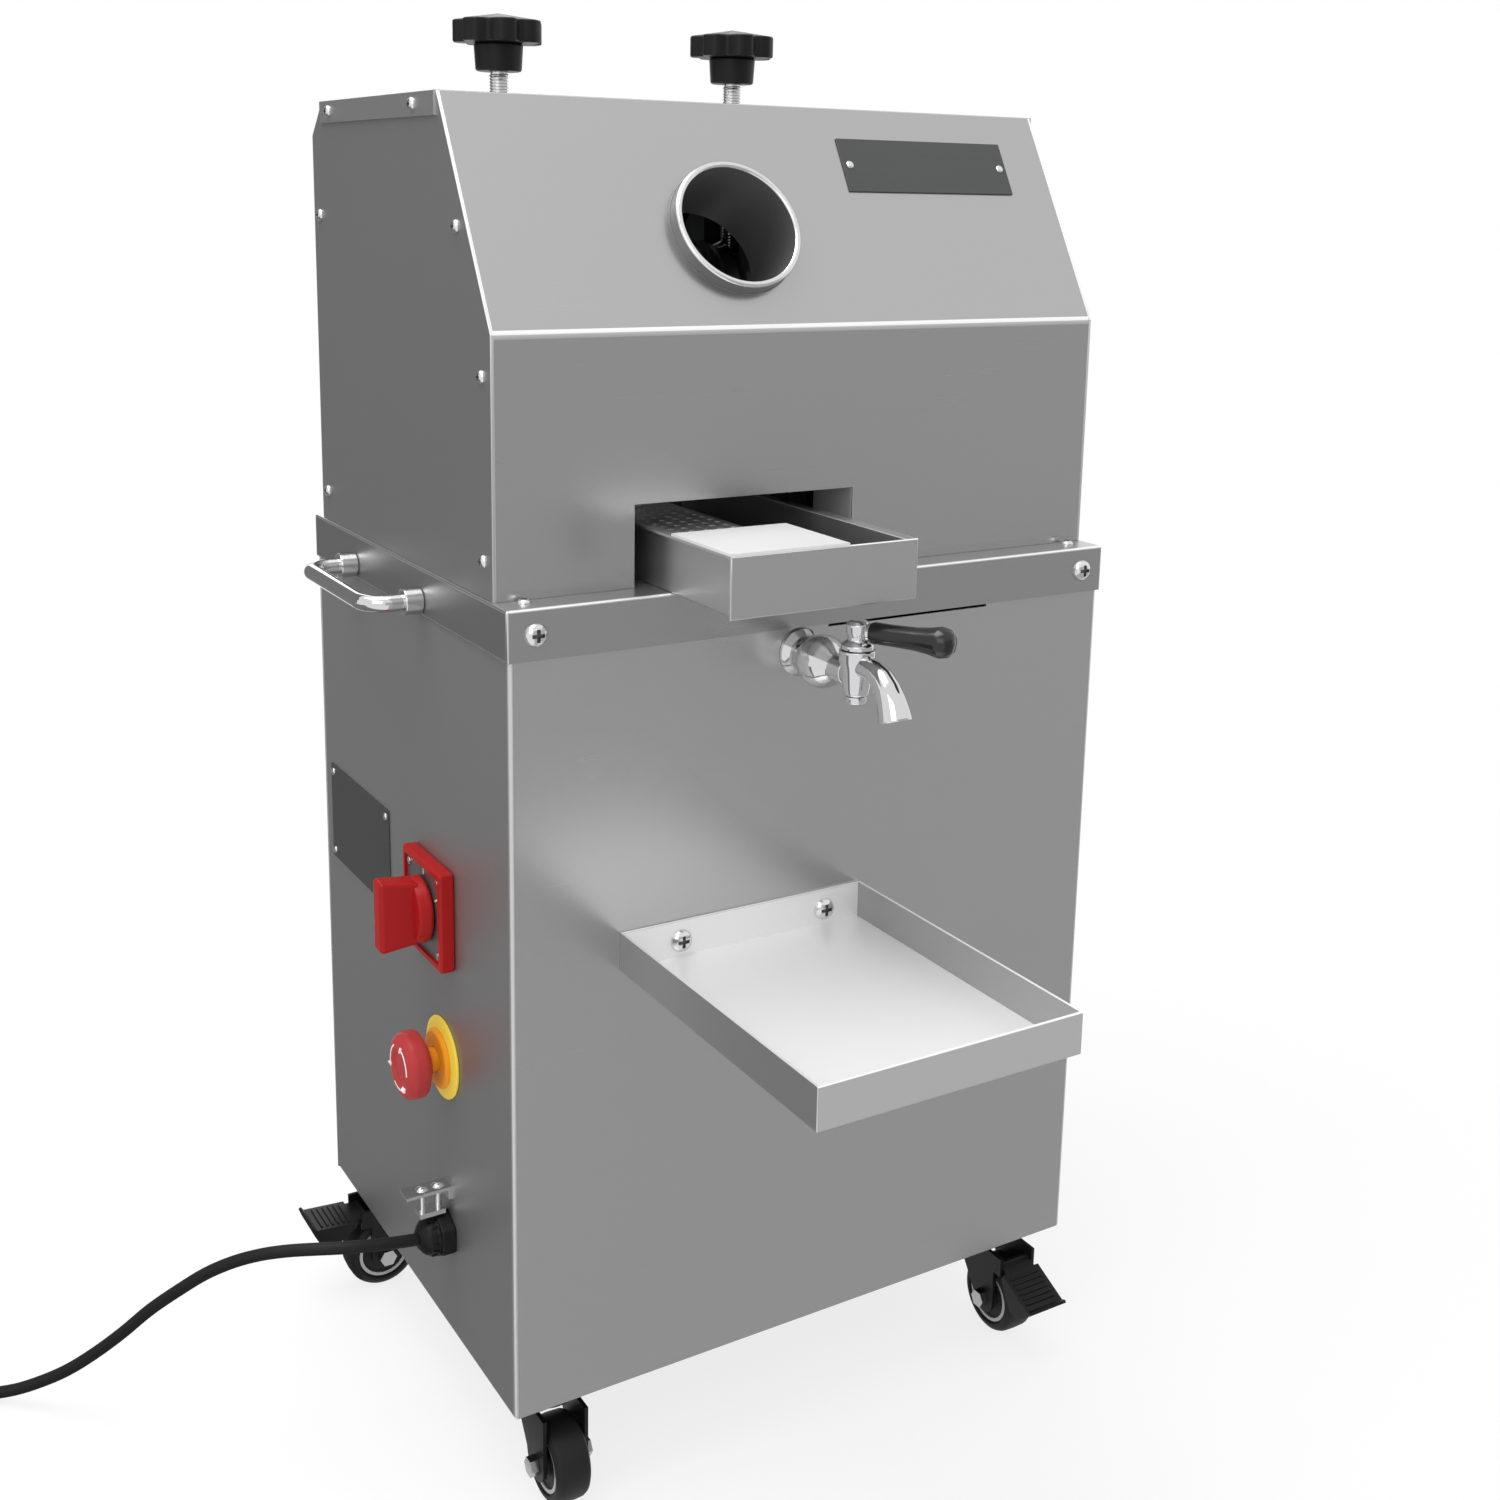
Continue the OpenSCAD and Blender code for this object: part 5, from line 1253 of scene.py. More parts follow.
@dataclass
class ReversingSwitch:
    """Rotary switch: red frame round a grey face, and a red bar knob.

    Attributes:
        plate_t: Height of the frame.
        plate_edge: Rounding of its edges.
        rim: Width of the frame's rim.
        step: How far the face lies below the rim.
        well_edge: Rounding of the rim's inner corners.
        face_t: Thickness of the face.
        screw: Radius and height of a screw's head, in millimetres.
        screw_edge: Rounding of its corners.
        screw_steps: Faces round it.
        screw_in: Distance of the screws' middles from the face's edges.
        tick_turns: Angles of the tick marks, in degrees.
        tick: Width, length and height of a tick mark, in millimetres.
        tick_out: Distance of a tick mark's middle from the axis.
        mark_edge: Rounding of face and tick marks.
        contacts_w: Width of the contact block.
        knob_gap: Gap between face and knob.
        foot: Radius and height of the knob's round foot, from its lower face, in millimetres.
        foot_edge: Rounding of the foot.
        foot_steps: Faces round it.
        bar_sink_share: How far the bar reaches into the foot, as a share of the foot's height.
        bar_w: Width of its bar at the top.
        bar_l: Length of its bar.
        bar_flare_shares: Width and length of the bar at its foot, as shares of those at the top.
        bar_edge: Rounding of the bar.
    """

    plate_t: float = 9 * MM
    plate_edge: float = 1.6 * MM
    rim: float = 4 * MM
    step: float = 2 * MM
    well_edge: float = 0.8 * MM
    face_t: float = 0.4 * MM
    screw: Profile = ((0.0, 0.0), (2.6, 0.0), (2.4, 1.2), (0.0, 1.7))
    screw_edge: float = 0.3 * MM
    screw_steps: int = 20
    screw_in: float = 4 * MM
    tick_turns: tuple[float, ...] = (-60.0, 0.0, 60.0)
    tick: tuple[float, float, float] = (1.0, 3.4, 0.3)
    tick_out: float = 22.4 * MM
    mark_edge: float = 0.1 * MM
    contacts_w: float = 46 * MM
    knob_gap: float = 0.6 * MM
    foot: Profile = ((0.0, 0.0), (18.0, 0.0), (20.0, 1.5), (18.5, 9.0), (0.0, 9.0))
    foot_edge: float = 1.2 * MM
    foot_steps: int = 64
    bar_sink_share: float = 0.5
    bar_w: float = 13 * MM
    bar_l: float = 44 * MM
    bar_flare_shares: tuple[float, float] = (1.35, 0.84)
    bar_edge: float = 2.6 * MM

    def build(self) -> None:
        """Model the plate and the knob."""
        axis = pivot("switch_turn")
        wall = low_of("cabinet_shell").x
        self.place = facing(Vector((wall, axis.y, axis.z)), LEFT)
        plate_low, plate_high = low_of("switch_plate"), high_of("switch_plate")
        self._plate(plate_high.z - plate_low.z, plate_high.x - wall)
        self._knob(wall - low_of("switch_knob").x)

    def _plate(self, width: float, depth: float) -> None:
        """Model the frame, its face, four screws, tick marks and the contact block behind.

        Args:
            width: Width of the square plate.
            depth: Depth of the contact block inside the wall.
        """
        outer = shifted(block((width, width, self.plate_t), self.plate_edge), z=self.plate_t / 2)
        inner = width - 2 * self.rim
        well = shifted(block((inner, inner, 2 * self.step), self.well_edge, 2), z=self.plate_t)
        rim = painted(carved(outer, well), 0)
        level = self.plate_t - self.step
        face = painted(shifted(block((inner, inner, self.face_t), self.mark_edge, 1), z=level), 1)
        far = inner / 2 - self.screw_in
        parts = [rim, face]
        for x in (-far, far):
            for y in (-far, far):
                head = soften(lathe(metres(self.screw), self.screw_steps), self.screw_edge)
                parts.append(painted(shifted(head, x, y, level), 2))
        for turn in self.tick_turns:
            size = Vector(self.tick) * MM
            tick = shifted(block(size, self.mark_edge, 1), y=self.tick_out, z=level + size.z)
            parts.append(painted(placed(tick, Matrix.Rotation(math.radians(turn), 4, "Z")), 3))
        parts.append(painted(inner_block(self.contacts_w, depth), 4))
        piece("switch_frame", placed(joined(parts), self.place), Body.CABINET.value,
              (RED, FACE_GREY, STEEL_BRIGHT, MARK_WHITE, BLACK_PLASTIC), ["switch_plate"])

    def _knob(self, reach: float) -> None:
        """Model the bar knob.

        Args:
            reach: Distance of the knob's top from the wall.
        """
        start = self.plate_t - self.step + self.knob_gap
        foot = turned(metres(self.foot, start), self.foot_edge, self.foot_steps, 3)
        height = reach - start - self.bar_sink_share * self.foot[-1][1] * MM
        bar = bmesh.new()
        bmesh.ops.create_cube(bar, size=1.0)
        bmesh.ops.scale(bar, vec=(self.bar_w, self.bar_l, height), verts=bar.verts[:])
        for vert in bar.verts:
            if vert.co.z < 0:
                vert.co.x *= self.bar_flare_shares[0]
                vert.co.y *= self.bar_flare_shares[1]
        shifted(soften(bar, self.bar_edge, 4), z=reach - height / 2)
        knob = placed(joined([foot, bar]), self.place)
        piece("switch_bar", knob, Body.SWITCH.value, (RED,), ["switch_knob"])


@dataclass
class StopButton:
    """Emergency stop: yellow disc, amber collar, sliding stem and red mushroom head.

    Attributes:
        disc: Radius and height of the disc's outside, in millimetres.
        disc_edge: Rounding of its corners.
        ring: Radius and height of the collar's outside, in millimetres.
        ring_edge: Rounding of its corners.
        contacts_w: Width of the contact block.
        well: Depth of the stem's well in the block and its overrun above, in millimetres.
        stem_d: Width of the stem.
        stem_gap: Gap round the stem.
        under: Radius and height of the head's underside, from its foot, in millimetres.
        crown: Radius and height of the head's top, from its highest point, in millimetres.
        head_edge: Rounding of its corners.
        socket: Depth of the stem's hole in the head.
        arrows: Number of turning arrows.
        arrow_share: Where they lie, as a share of the head's radius.
        arrow_sink: How far their middle lies below the head's highest point.
        arrow_turn: Angle that an arrow's shaft covers, in degrees.
        arrow_steps: Stretches along the shaft.
        arrow_radii: Radius of the shaft, of the point's root and of its tip, in millimetres.
        arrow_tip: Start and end of the point beyond the shaft, in millimetres.
        steps: Faces round disc, collar and head.
        bore_steps: Faces round the well.
        arrow_sides: Faces round an arrow.
    """

    disc: Profile = ((24.4, 0.0), (25.0, 0.8), (24.6, 1.8), (18.0, 3.0))
    disc_edge: float = 0.4 * MM
    ring: Profile = ((18.0, 2.8), (18.0, 4.4), (16.4, 6.0))
    ring_edge: float = 0.5 * MM
    contacts_w: float = 42 * MM
    well: tuple[float, float] = (-26.0, 1.0)
    stem_d: float = 14 * MM
    stem_gap: float = 0.05 * MM
    under: Profile = ((11.0, 0.0), (14.0, 1.2), (18.8, 3.6), (20.0, 5.6))
    crown: Profile = (
        (20.0, -6.0), (19.4, -3.6), (17.8, -1.6), (15.6, -0.5), (12.4, 0.0), (10.0, -0.4), (9.2, -1.4),
        (0.0, -1.0),
    )
    head_edge: float = 0.6 * MM
    socket: float = 5 * MM
    arrows: int = 3
    arrow_share: float = 0.66
    arrow_sink: float = 0.65 * MM
    arrow_turn: float = 68.0
    arrow_steps: int = 8
    arrow_radii: tuple[float, float, float] = (0.85, 2.2, 0.1)
    arrow_tip: tuple[float, float] = (0.1, 3.6)
    steps: int = 64
    bore_steps: int = 32
    arrow_sides: int = 10

    def build(self) -> None:
        """Model collar, stem and head."""
        axis = pivot("stop_twist")
        wall = low_of("cabinet_shell").x
        place = facing(Vector((wall, axis.y, axis.z)), LEFT)
        self.bore_r = self.stem_d / 2 + self.stem_gap
        self._collar(place, high_of("estop_collar").x - wall)
        head_low = wall - high_of("estop_head").x
        head_high = wall - low_of("estop_head").x
        self._head(place, head_low, head_high)
        piece("stop_stem_bar", copy_of("estop_stem"), Body.STOP_STEM.value, (AMBER,),
              ["estop_stem"])

    def _collar(self, place: Matrix, depth: float) -> None:
        """Model the disc, the collar and the contact block inside.

        Args:
            place: Axes on the wall.
            depth: Reach of the contact block behind the wall.
        """
        disc = turned(round_bore(metres(self.disc), self.bore_r), self.disc_edge, self.steps)
        ring = turned(round_bore(metres(self.ring), self.bore_r), self.ring_edge, self.steps)
        low, high = (height * MM for height in self.well)
        well = lathe([(0.0, low), (self.bore_r, low), (self.bore_r, high), (0.0, high)], self.bore_steps)
        contacts = carved(inner_block(self.contacts_w, depth), well)
        parts = [painted(disc, 0), painted(ring, 1), painted(contacts, 2)]
        piece("stop_collar", placed(joined(parts), place), Body.CABINET.value, (YELLOW, AMBER, BLACK_PLASTIC),
              ["estop_collar"])

    def _head(self, place: Matrix, low: float, high: float) -> None:
        """Model the mushroom head with its turning arrows.

        Args:
            place: Axes on the wall.
            low: Height of the head's foot above the wall.
            high: Height of its crown.
        """
        rise = low + self.socket
        outline = [(self.bore_r, low), *metres(self.under, low), *metres(self.crown, high), (0.0, rise),
                   (self.bore_r, rise), (self.bore_r, low)]
        head = painted(turned(outline, self.head_edge, self.steps), 0)
        tails = [math.tau * i / self.arrows for i in range(self.arrows)]
        parts = [head, *(painted(self._arrow(high, tail), 1) for tail in tails)]
        piece("stop_mushroom", placed(joined(parts), place), Body.STOP_HEAD.value, (STOP_RED, MARK_WHITE),
              ["estop_head"])

    def _arrow(self, top: float, turn: float) -> Mesh:
        """Bend one thin turning arrow on to the crown.

        Args:
            top: Height of the crown.
            turn: Angle of its tail.

        Returns:
            The arrow.
        """
        r = self.arrow_share * self.crown[0][0] * MM
        level = top - self.arrow_sink
        points = range(self.arrow_steps + 1)
        angles = [turn + math.radians(self.arrow_turn) * i / self.arrow_steps for i in points]
        path = [Vector((r * math.cos(a), r * math.sin(a), level)) for a in angles]
        ahead = (path[-1] - path[-2]).normalized()
        shaft, root, tip = (radius * MM for radius in self.arrow_radii)
        path += [path[-1] + ahead * reach * MM for reach in self.arrow_tip]
        return sweep(path, [shaft] * len(points) + [root, tip], self.arrow_sides)


@dataclass
class CordExit:
    """Cable gland and the screwed clamp over it.

    Attributes:
        hex_d: Width of the hexagon over its corners.
        hex_l: Length of the hexagon.
        hex_edge: Rounding of its edges.
        dome_d: Width of the sealing dome at its root.
        root: Radius and distance from the hexagon along the dome's root, in millimetres.
        taper_shares: Radius along the dome, in millimetres, and where, as a share of its reach.
        tip: Radius and distance from the outer end at the dome's tip, in millimetres.
        dome_edge: Rounding of its corners.
        dome_steps: Faces round it.
        ribs: Number of ribs round the dome.
        rib_w: Width of a rib.
        rib_edge: Rounding of a rib.
        rib_sink: How far a rib's middle lies inside the dome's radius.
        rib_start: Distance of the ribs from the hexagon.
        rib_share: Where the ribs end, as a share of the dome's reach.
        clamp_edge: Rounding of the clamp.
    """

    hex_d: float = 30 * MM
    hex_l: float = 9 * MM
    hex_edge: float = 1.2 * MM
    dome_d: float = 24 * MM
    root: Profile = ((12.0, 0.6), (11.4, 1.2))
    taper_shares: Profile = ((11.2, 0.70), (10.08, 0.82), (7.9, 0.92))
    tip: Profile = ((6.5, -0.8), (5.7, 0.0))
    dome_edge: float = 0.4 * MM
    dome_steps: int = 56
    ribs: int = 14
    rib_w: float = 1.6 * MM
    rib_edge: float = 0.4 * MM
    rib_sink: float = 0.6 * MM
    rib_start: float = 1.0 * MM
    rib_share: float = 0.68
    clamp_edge: float = 0.5 * MM

    def build(self) -> None:
        """Model the gland and dress the clamp."""
        wall = low_of("cabinet_shell").x
        middle = middle_of("cable_gland")
        out = wall - low_of("cable_gland").x
        inner = high_of("cable_gland").x - wall
        place = facing(Vector((wall, middle.y, middle.z)), LEFT)
        flat = shifted(hexagon(self.hex_d, self.hex_l, self.hex_edge, 3), z=self.hex_l / 2)
        dome_r = self.dome_d / 2
        taper = [(radius * MM, share * out) for radius, share in self.taper_shares]
        outline = [(0.0, -inner), (dome_r, -inner), *metres(self.root, self.hex_l), *taper,
                   *metres(self.tip, out), (0.0, out)]
        dome = turned(outline, self.dome_edge, self.dome_steps)
        ribs = []
        length = self.rib_share * out - self.hex_l - self.rib_start
        for i in range(self.ribs):
            rib = block((self.rib_w, self.rib_w, length), self.rib_edge, 2)
            shifted(rib, dome_r - self.rib_sink, 0, self.hex_l + self.rib_start + length / 2)
            ribs.append(placed(rib, Matrix.Rotation(math.tau * i / self.ribs, 4, "Z")))
        gland = placed(joined([flat, dome, *ribs]), place)
        piece("gland_body", gland, Body.CABINET.value, (BLACK_PLASTIC,), ["cable_gland"])
        clamp = soften(copy_of("cord_clamp"), self.clamp_edge, 2)
        piece("clamp_plate", clamp, Body.CABINET.value, (CHROME,), ["cord_clamp"])


@dataclass
class MainsCord:
    """Mains lead: from the gland down to the floor, then wound into a coil, with its tie and plug.

    Attributes:
        diameter: Width of the lead.
        route: Points of the free stretch from the cabinet's front left corner on the floor.
        coil_mid: Middle of the coil from the same corner.
        coil_r: Radius of its first turn.
        turns: Number of turns, half of them in each layer.
        gap: Gap between turns.
        low_z: Height of the lower layer.
        climb: Share of a turn on each side of the reversal in which the lead climbs.
        tail: Straight end before the plug.
        rings: Points along each turn.
        section_steps: Steps of the curve's round section.
        tie_w: Width of the tie along the lead.
        tie_span: Turns that lie side by side in the tie, with room at its ends.
        tie_over: How far the tie's cutter reaches beyond it, in all.
        tie_walls: Thickness of the tie, both walls together, beside and above the turns.
        tie_bite: How far the tie presses into the upper turns.
        tie_edges: Rounding of the tie outside and inside.
        tie_lift: Gap between the tie's middle and that of two layers lying on the floor.
        plug_l: Length of the plug's body.
        plug_neck_r: Radius of the plug's end at the lead.
        plug_ribs: Number of ribs on the plug's neck.
        rib_first: Radius and distance from the lead's end of the first rib, in millimetres.
        rib_step: How much both grow from rib to rib, in millimetres.
        rib: Depth below the rib's radius and distance from its start, along a rib, in millimetres.
        plug_body: Radius and distance from the lead's end along the plug's body, in millimetres.
        plug_edge: Rounding of the plug's corners.
        plug_angle: Least angle of a corner that is rounded there, in degrees.
        pin: Radius and distance from the plug's face along a pin, in millimetres.
        pin_steps: Faces round a pin.
        pin_out: Distance of a pin from the plug's axis.
    """

    diameter: float = 7.4 * MM
    route: tuple[tuple[float, float, float], ...] = (
        (-0.02, 0.097, 0.139), (-0.03, 0.097, 0.1405), (-0.042, 0.097, 0.1425), (-0.054, 0.098, 0.1445),
        (-0.066, 0.101, 0.1455), (-0.079, 0.107, 0.1455), (-0.092, 0.116, 0.1435), (-0.105, 0.127, 0.139),
        (-0.118, 0.14, 0.131), (-0.131, 0.154, 0.1195), (-0.144, 0.169, 0.104), (-0.158, 0.185, 0.086),
        (-0.172, 0.2, 0.066), (-0.186, 0.216, 0.047), (-0.2, 0.231, 0.031), (-0.214, 0.245, 0.019),
        (-0.228, 0.258, 0.01), (-0.243, 0.27, 0.005), (-0.259, 0.281, 0.004), (-0.276, 0.289, 0.004),
        (-0.294, 0.294, 0.004), (-0.312, 0.295, 0.004),
    )
    coil_mid: tuple[float, float] = (-0.312, 0.345)
    coil_r: float = 50 * MM
    turns: int = 4
    gap: float = 0.6 * MM
    low_z: float = 4 * MM
    climb: float = 0.25
    tail: float = 48 * MM
    rings: int = 48
    section_steps: int = 5
    tie_w: float = 12 * MM
    tie_span: float = 2.6
    tie_over: float = 8 * MM
    tie_walls: tuple[float, float] = (2.0 * MM, 1.6 * MM)
    tie_bite: float = 0.4 * MM
    tie_edges: tuple[float, float] = (2.5 * MM, 2.0 * MM)
    tie_lift: float = 0.9 * MM
    plug_l: float = 44 * MM
    plug_neck_r: float = 5.0 * MM
    plug_ribs: int = 5
    rib_first: tuple[float, float] = (5.6, 2.0)
    rib_step: tuple[float, float] = (0.8, 2.6)
    rib: Profile = ((0.0, 0.0), (0.0, 1.4), (0.9, 1.6), (0.9, 2.4))
    plug_body: Profile = ((9.5, 17.0), (11.0, 24.0), (10.4, 32.0), (11.0, 40.0), (10.4, 44.0), (0.0, 44.0))
    plug_edge: float = 0.4 * MM
    plug_angle: float = 40.0
    pin: Profile = ((0.0, -1.0), (2.4, -1.0), (2.4, 16.5), (1.6, 18.6), (0.0, 19.0))
    pin_steps: int = 20
    pin_out: float = 9.5 * MM

    def build(self) -> None:
        """Lay the lead, tie it and put the plug on its end."""
        corner = low_of("cabinet_shell")
        self.origin = Vector((corner.x, corner.y, 0.0))
        free = [Vector(point) + self.origin for point in self.route]
        points = self._smooth(free) + self._coil()
        lead = self._curve(points)
        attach(lead, Body.CABINET.value)
        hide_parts("mains_cord", "cord_coil")
        tie = self._tie()
        plug = self._plug(points[-1])

    @staticmethod
    def _smooth(points: Sequence[Vector], steps: int = 4) -> list[Vector]:
        """Draw a smooth line through points.

        Args:
            points: Points of the line.
            steps: Points to give for each stretch.

        Returns:
            Closer points on the same line.
        """
        ends = [points[0] * 2 - points[1], *points, points[-1] * 2 - points[-2]]
        line = []
        for a, b, c, d in zip(ends, ends[1:], ends[2:], ends[3:]):
            for i in range(steps):
                t = i / steps
                line.append(((b * 2) + (c - a) * t + (a * 2 - b * 5 + c * 4 - d) * t ** 2
                             + (b * 3 - a - c * 3 + d) * t ** 3) / 2)
        return [*line, points[-1]]

    def _coil(self) -> list[Vector]:
        """Wind the coil: in along the floor, up at the inside, and out on top.

        Returns:
            Points after the free stretch, with the straight end.
        """
        step = self.diameter + self.gap
        middle = self.turns / 2
        points = []
        for i in range(1, self.rings * self.turns + 1):
            t = i / self.rings
            radius = self.coil_r - step * min(t, self.turns - t)
            rise = min(max((t - middle + self.climb) / (2 * self.climb), 0.0), 1.0)
            angle = -math.pi / 2 - math.tau * t
            spot = Vector((self.coil_mid[0] + radius * math.cos(angle),
                           self.coil_mid[1] + radius * math.sin(angle), self.low_z + step * rise))
            points.append(spot + self.origin)
        return [*points, points[-1] + LEFT * self.tail]

    def _curve(self, points: Sequence[Vector]) -> bpy.types.Object:
        """Make the lead as a curve with a round section.

        Args:
            points: Points along it.

        Returns:
            The curve's object.
        """
        curve = bpy.data.curves.new("mains_lead", "CURVE")
        curve.dimensions = "3D"
        curve.bevel_depth = self.diameter / 2
        curve.bevel_resolution = self.section_steps
        curve.use_fill_caps = True
        spline = curve.splines.new("POLY")
        spline.points.add(len(points) - 1)
        for target, point in zip(spline.points, points):
            target.co = (*point, 1.0)
        curve.materials.append(RUBBER.material())
        lead = bpy.data.objects.new("mains_lead", curve)
        bpy.context.scene.collection.objects.link(lead)
        return lead

    def _tie(self) -> bpy.types.Object:
        """Model the flat tie round the coil's turns.

        Returns:
            The tie.
        """
        step = self.diameter + self.gap
        wide, high = self.tie_span * step, 2 * step
        beside, above = self.tie_walls
        round_out, round_in = self.tie_edges
        outer = block((self.tie_w, wide + beside, high + above), round_out)
        inner = block((self.tie_w + self.tie_over, wide, high - self.tie_bite), round_in)
        x, y = self.coil_mid
        spot = self.origin + Vector((x, y + self.coil_r - step, high / 2 + self.tie_lift))
        band = shifted(carved(outer, inner), *spot)
        return piece("cord_tie", band, Body.CABINET.value, (BLACK_PLASTIC,))

    def _plug(self, end: Vector) -> bpy.types.Object:
        """Model the plug with its ribbed neck and two pins.

        Args:
            end: End of the lead.

        Returns:
            The plug.
        """
        neck = [(0.0, 0.0), (self.plug_neck_r, 0.0)]
        for i in range(self.plug_ribs):
            r, z = (first + step * i for first, step in zip(self.rib_first, self.rib_step))
            neck += metres([(r - depth, z + along) for depth, along in self.rib])
        outline = [*neck, *metres(self.plug_body)]
        shell = painted(turned(outline, self.plug_edge, least=self.plug_angle), 0)
        pins = []
        for side in (-1, 1):
            pin = lathe(metres(self.pin, self.plug_l), self.pin_steps)
            pins.append(painted(shifted(pin, x=side * self.pin_out), 1))
        plug = placed(joined([shell, *pins]), facing(end, LEFT))
        finishes = (RUBBER, STEEL_BRIGHT)
        return piece("lead_plug", plug, Body.CABINET.value, finishes, ["mains_plug"])


@dataclass
class Castors:
    """Swivel castors: plates, forks, wheels with pale rim rings, and two brake pedals.

    Attributes:
        wheel_r: Radius of a wheel.
        wheel_w: Width of a wheel.
        wheel_side: Radius and depth below a wheel's side, from its bore to the tread, in millimetres.
        wheel_steps: Faces round a wheel.
        tyre_edge: Rounding of its corners.
        ring: Inner and outer radius of the pale ring, in millimetres.
        ring_deep: Depth of the pale ring's foot and top below the wheel's side, in millimetres.
        ring_edge: Rounding of the ring.
        plate_edge: Rounding of the plates.
        fork_edge: Rounding of the forks.
        bolt_r: Radius within which a fork's face belongs to the axle's bolt.
        bolt_out: Distance from the wheel's middle where the bolt's heads start.
        spots: Names of the castors.
        braked: Castors with a pedal.
        raised: Slope of a raised pedal, in degrees.
        pedal_edge: Rounding of a pedal.
        ribs: Number of ribs across a pedal.
        rib: Thickness, length and height of a rib.
        rib_edge: Rounding of a rib.
        rib_first: Distance of the first rib from the hinge.
        rib_step: Distance from rib to rib.
        rib_lift: Height of the ribs' middle above the hinge.
    """

    wheel_r: float = 25 * MM
    wheel_w: float = 22 * MM
    wheel_side: Profile = (
        (4.05, 0.0), (7.0, 0.0), (7.6, 2.0), (12.0, 2.4), (15.0, 2.2), (18.4, 1.4), (19.0, 0.0), (21.0, 0.0),
        (23.6, 1.6), (24.7, 4.0),
    )
    wheel_steps: int = 72
    tyre_edge: float = 0.4 * MM
    ring: tuple[float, float] = (15.4, 17.8)
    ring_deep: tuple[float, float] = (2.4, 1.0)
    ring_edge: float = 0.3 * MM
    plate_edge: float = 0.6 * MM
    fork_edge: float = 0.7 * MM
    bolt_r: float = 7.6 * MM
    bolt_out: float = 14.3 * MM
    spots: tuple[str, ...] = ("fl", "fr", "bl", "br")
    braked: tuple[str, ...] = ("fr", "bl")
    raised: float = 4.0
    pedal_edge: float = 0.8 * MM
    ribs: int = 6
    rib: tuple[float, float, float] = (1.6 * MM, 24 * MM, 1.4 * MM)
    rib_edge: float = 0.5 * MM
    rib_first: float = 13.0 * MM
    rib_step: float = 3.8 * MM
    rib_lift: float = 2.2 * MM

    def build(self) -> None:
        """Model every castor."""
        plates = soften(copy_of("caster_plates"), self.plate_edge, 2)
        piece("castor_plates", plates, Body.CABINET.value, (ZINC,), ["caster_plates"])
        for spot in self.spots:
            self._fork(spot)
            self._wheel(spot)
        for spot in self.braked:
            self._pedal(spot)

    def _fork(self, spot: str) -> None:
        """Dress a fork, with its axle bolt bright.

        Args:
            spot: Which castor.
        """
        bm = soften(copy_of(f"caster_fork_{spot}"), self.fork_edge, 2)
        axle = pivot(f"wheel_{spot}_spin")
        along = Vector(JOINTS[f"wheel_{spot}_spin"]["axis"])
        for face in bm.faces:
            arms = [vert.co - axle for vert in face.verts]
            radius = max((arm - along * arm.dot(along)).length for arm in arms)
            out = min(abs(arm.dot(along)) for arm in arms)
            face.material_index = int(radius < self.bolt_r and out > self.bolt_out)
        piece(f"castor_fork_{spot}", bm, f"fork_{spot}", (BLACK_PLASTIC, NUT_STEEL),
              [f"caster_fork_{spot}"])

    def _wheel(self, spot: str) -> None:
        """Turn a wheel with its tread, dished sides and pale rings.

        Args:
            spot: Which castor.
        """
        half = self.wheel_w / 2
        side = [(radius * MM, half - deep * MM) for radius, deep in self.wheel_side]
        back = [(radius, -height) for radius, height in reversed(side)]
        outline = [*side, (self.wheel_r, 0.0), *back, side[0]]
        tyre = painted(turned(outline, self.tyre_edge, self.wheel_steps), 0)
        inner, outer = (radius * MM for radius in self.ring)
        rings = []
        for end in (-1, 1):
            low, high = (end * (half - deep * MM) for deep in self.ring_deep)
            ring = [(inner, low), (inner, high), (outer, high), (outer, low), (inner, low)]
            rings.append(painted(soften(lathe(ring, self.wheel_steps), self.ring_edge), 1))
        along = Vector(JOINTS[f"wheel_{spot}_spin"]["axis"])
        wheel = placed(joined([tyre, *rings]), facing(pivot(f"wheel_{spot}_spin"), along))
        piece(f"castor_wheel_{spot}", wheel, f"wheel_{spot}", (TREAD, RIM_GREY),
              [f"caster_wheel_{spot}"])

    def _pedal(self, spot: str) -> None:
        """Dress a brake pedal, with ribs across its tread.

        Args:
            spot: Which castor.
        """
        joint = JOINTS[f"pedal_{spot}_tilt"]
        hinge = pivot(f"pedal_{spot}_tilt")
        side = -Vector(joint["axis"])
        out = side.cross(UP)
        tilt = math.radians(self.raised - joint["range_deg"][1])
        place = Matrix.Translation(hinge) @ Matrix((out, side, UP)).transposed().to_4x4()
        place = place @ Matrix.Rotation(-tilt, 4, "Y")
        tongue = soften(copy_of(f"brake_pedal_{spot}"), self.pedal_edge, 3)
        ribs = []
        for i in range(self.ribs):
            along = self.rib_first + self.rib_step * i
            rib = shifted(block(self.rib, self.rib_edge, 2), along, 0, self.rib_lift)
            ribs.append(placed(rib, place))
        pedal = joined([tongue, *ribs])
        piece(f"castor_pedal_{spot}", pedal, f"pedal_{spot}", (BLACK_PLASTIC,),
              [f"brake_pedal_{spot}"])


@dataclass
class PlainSolids:
    """Solids whose own shape is right: each gets the finish of its slot."""

    def build(self) -> None:
        """Give every solid a finish, those behind a new piece too."""
        for node, solid in frame["nodes"].items():
            finish = SLOT_FINISHES[NODE_SLOTS[node]]
            if not solid.material_slots:
                solid.data.materials.append(finish.material())
            for place in solid.material_slots:
                place.material = finish.material()


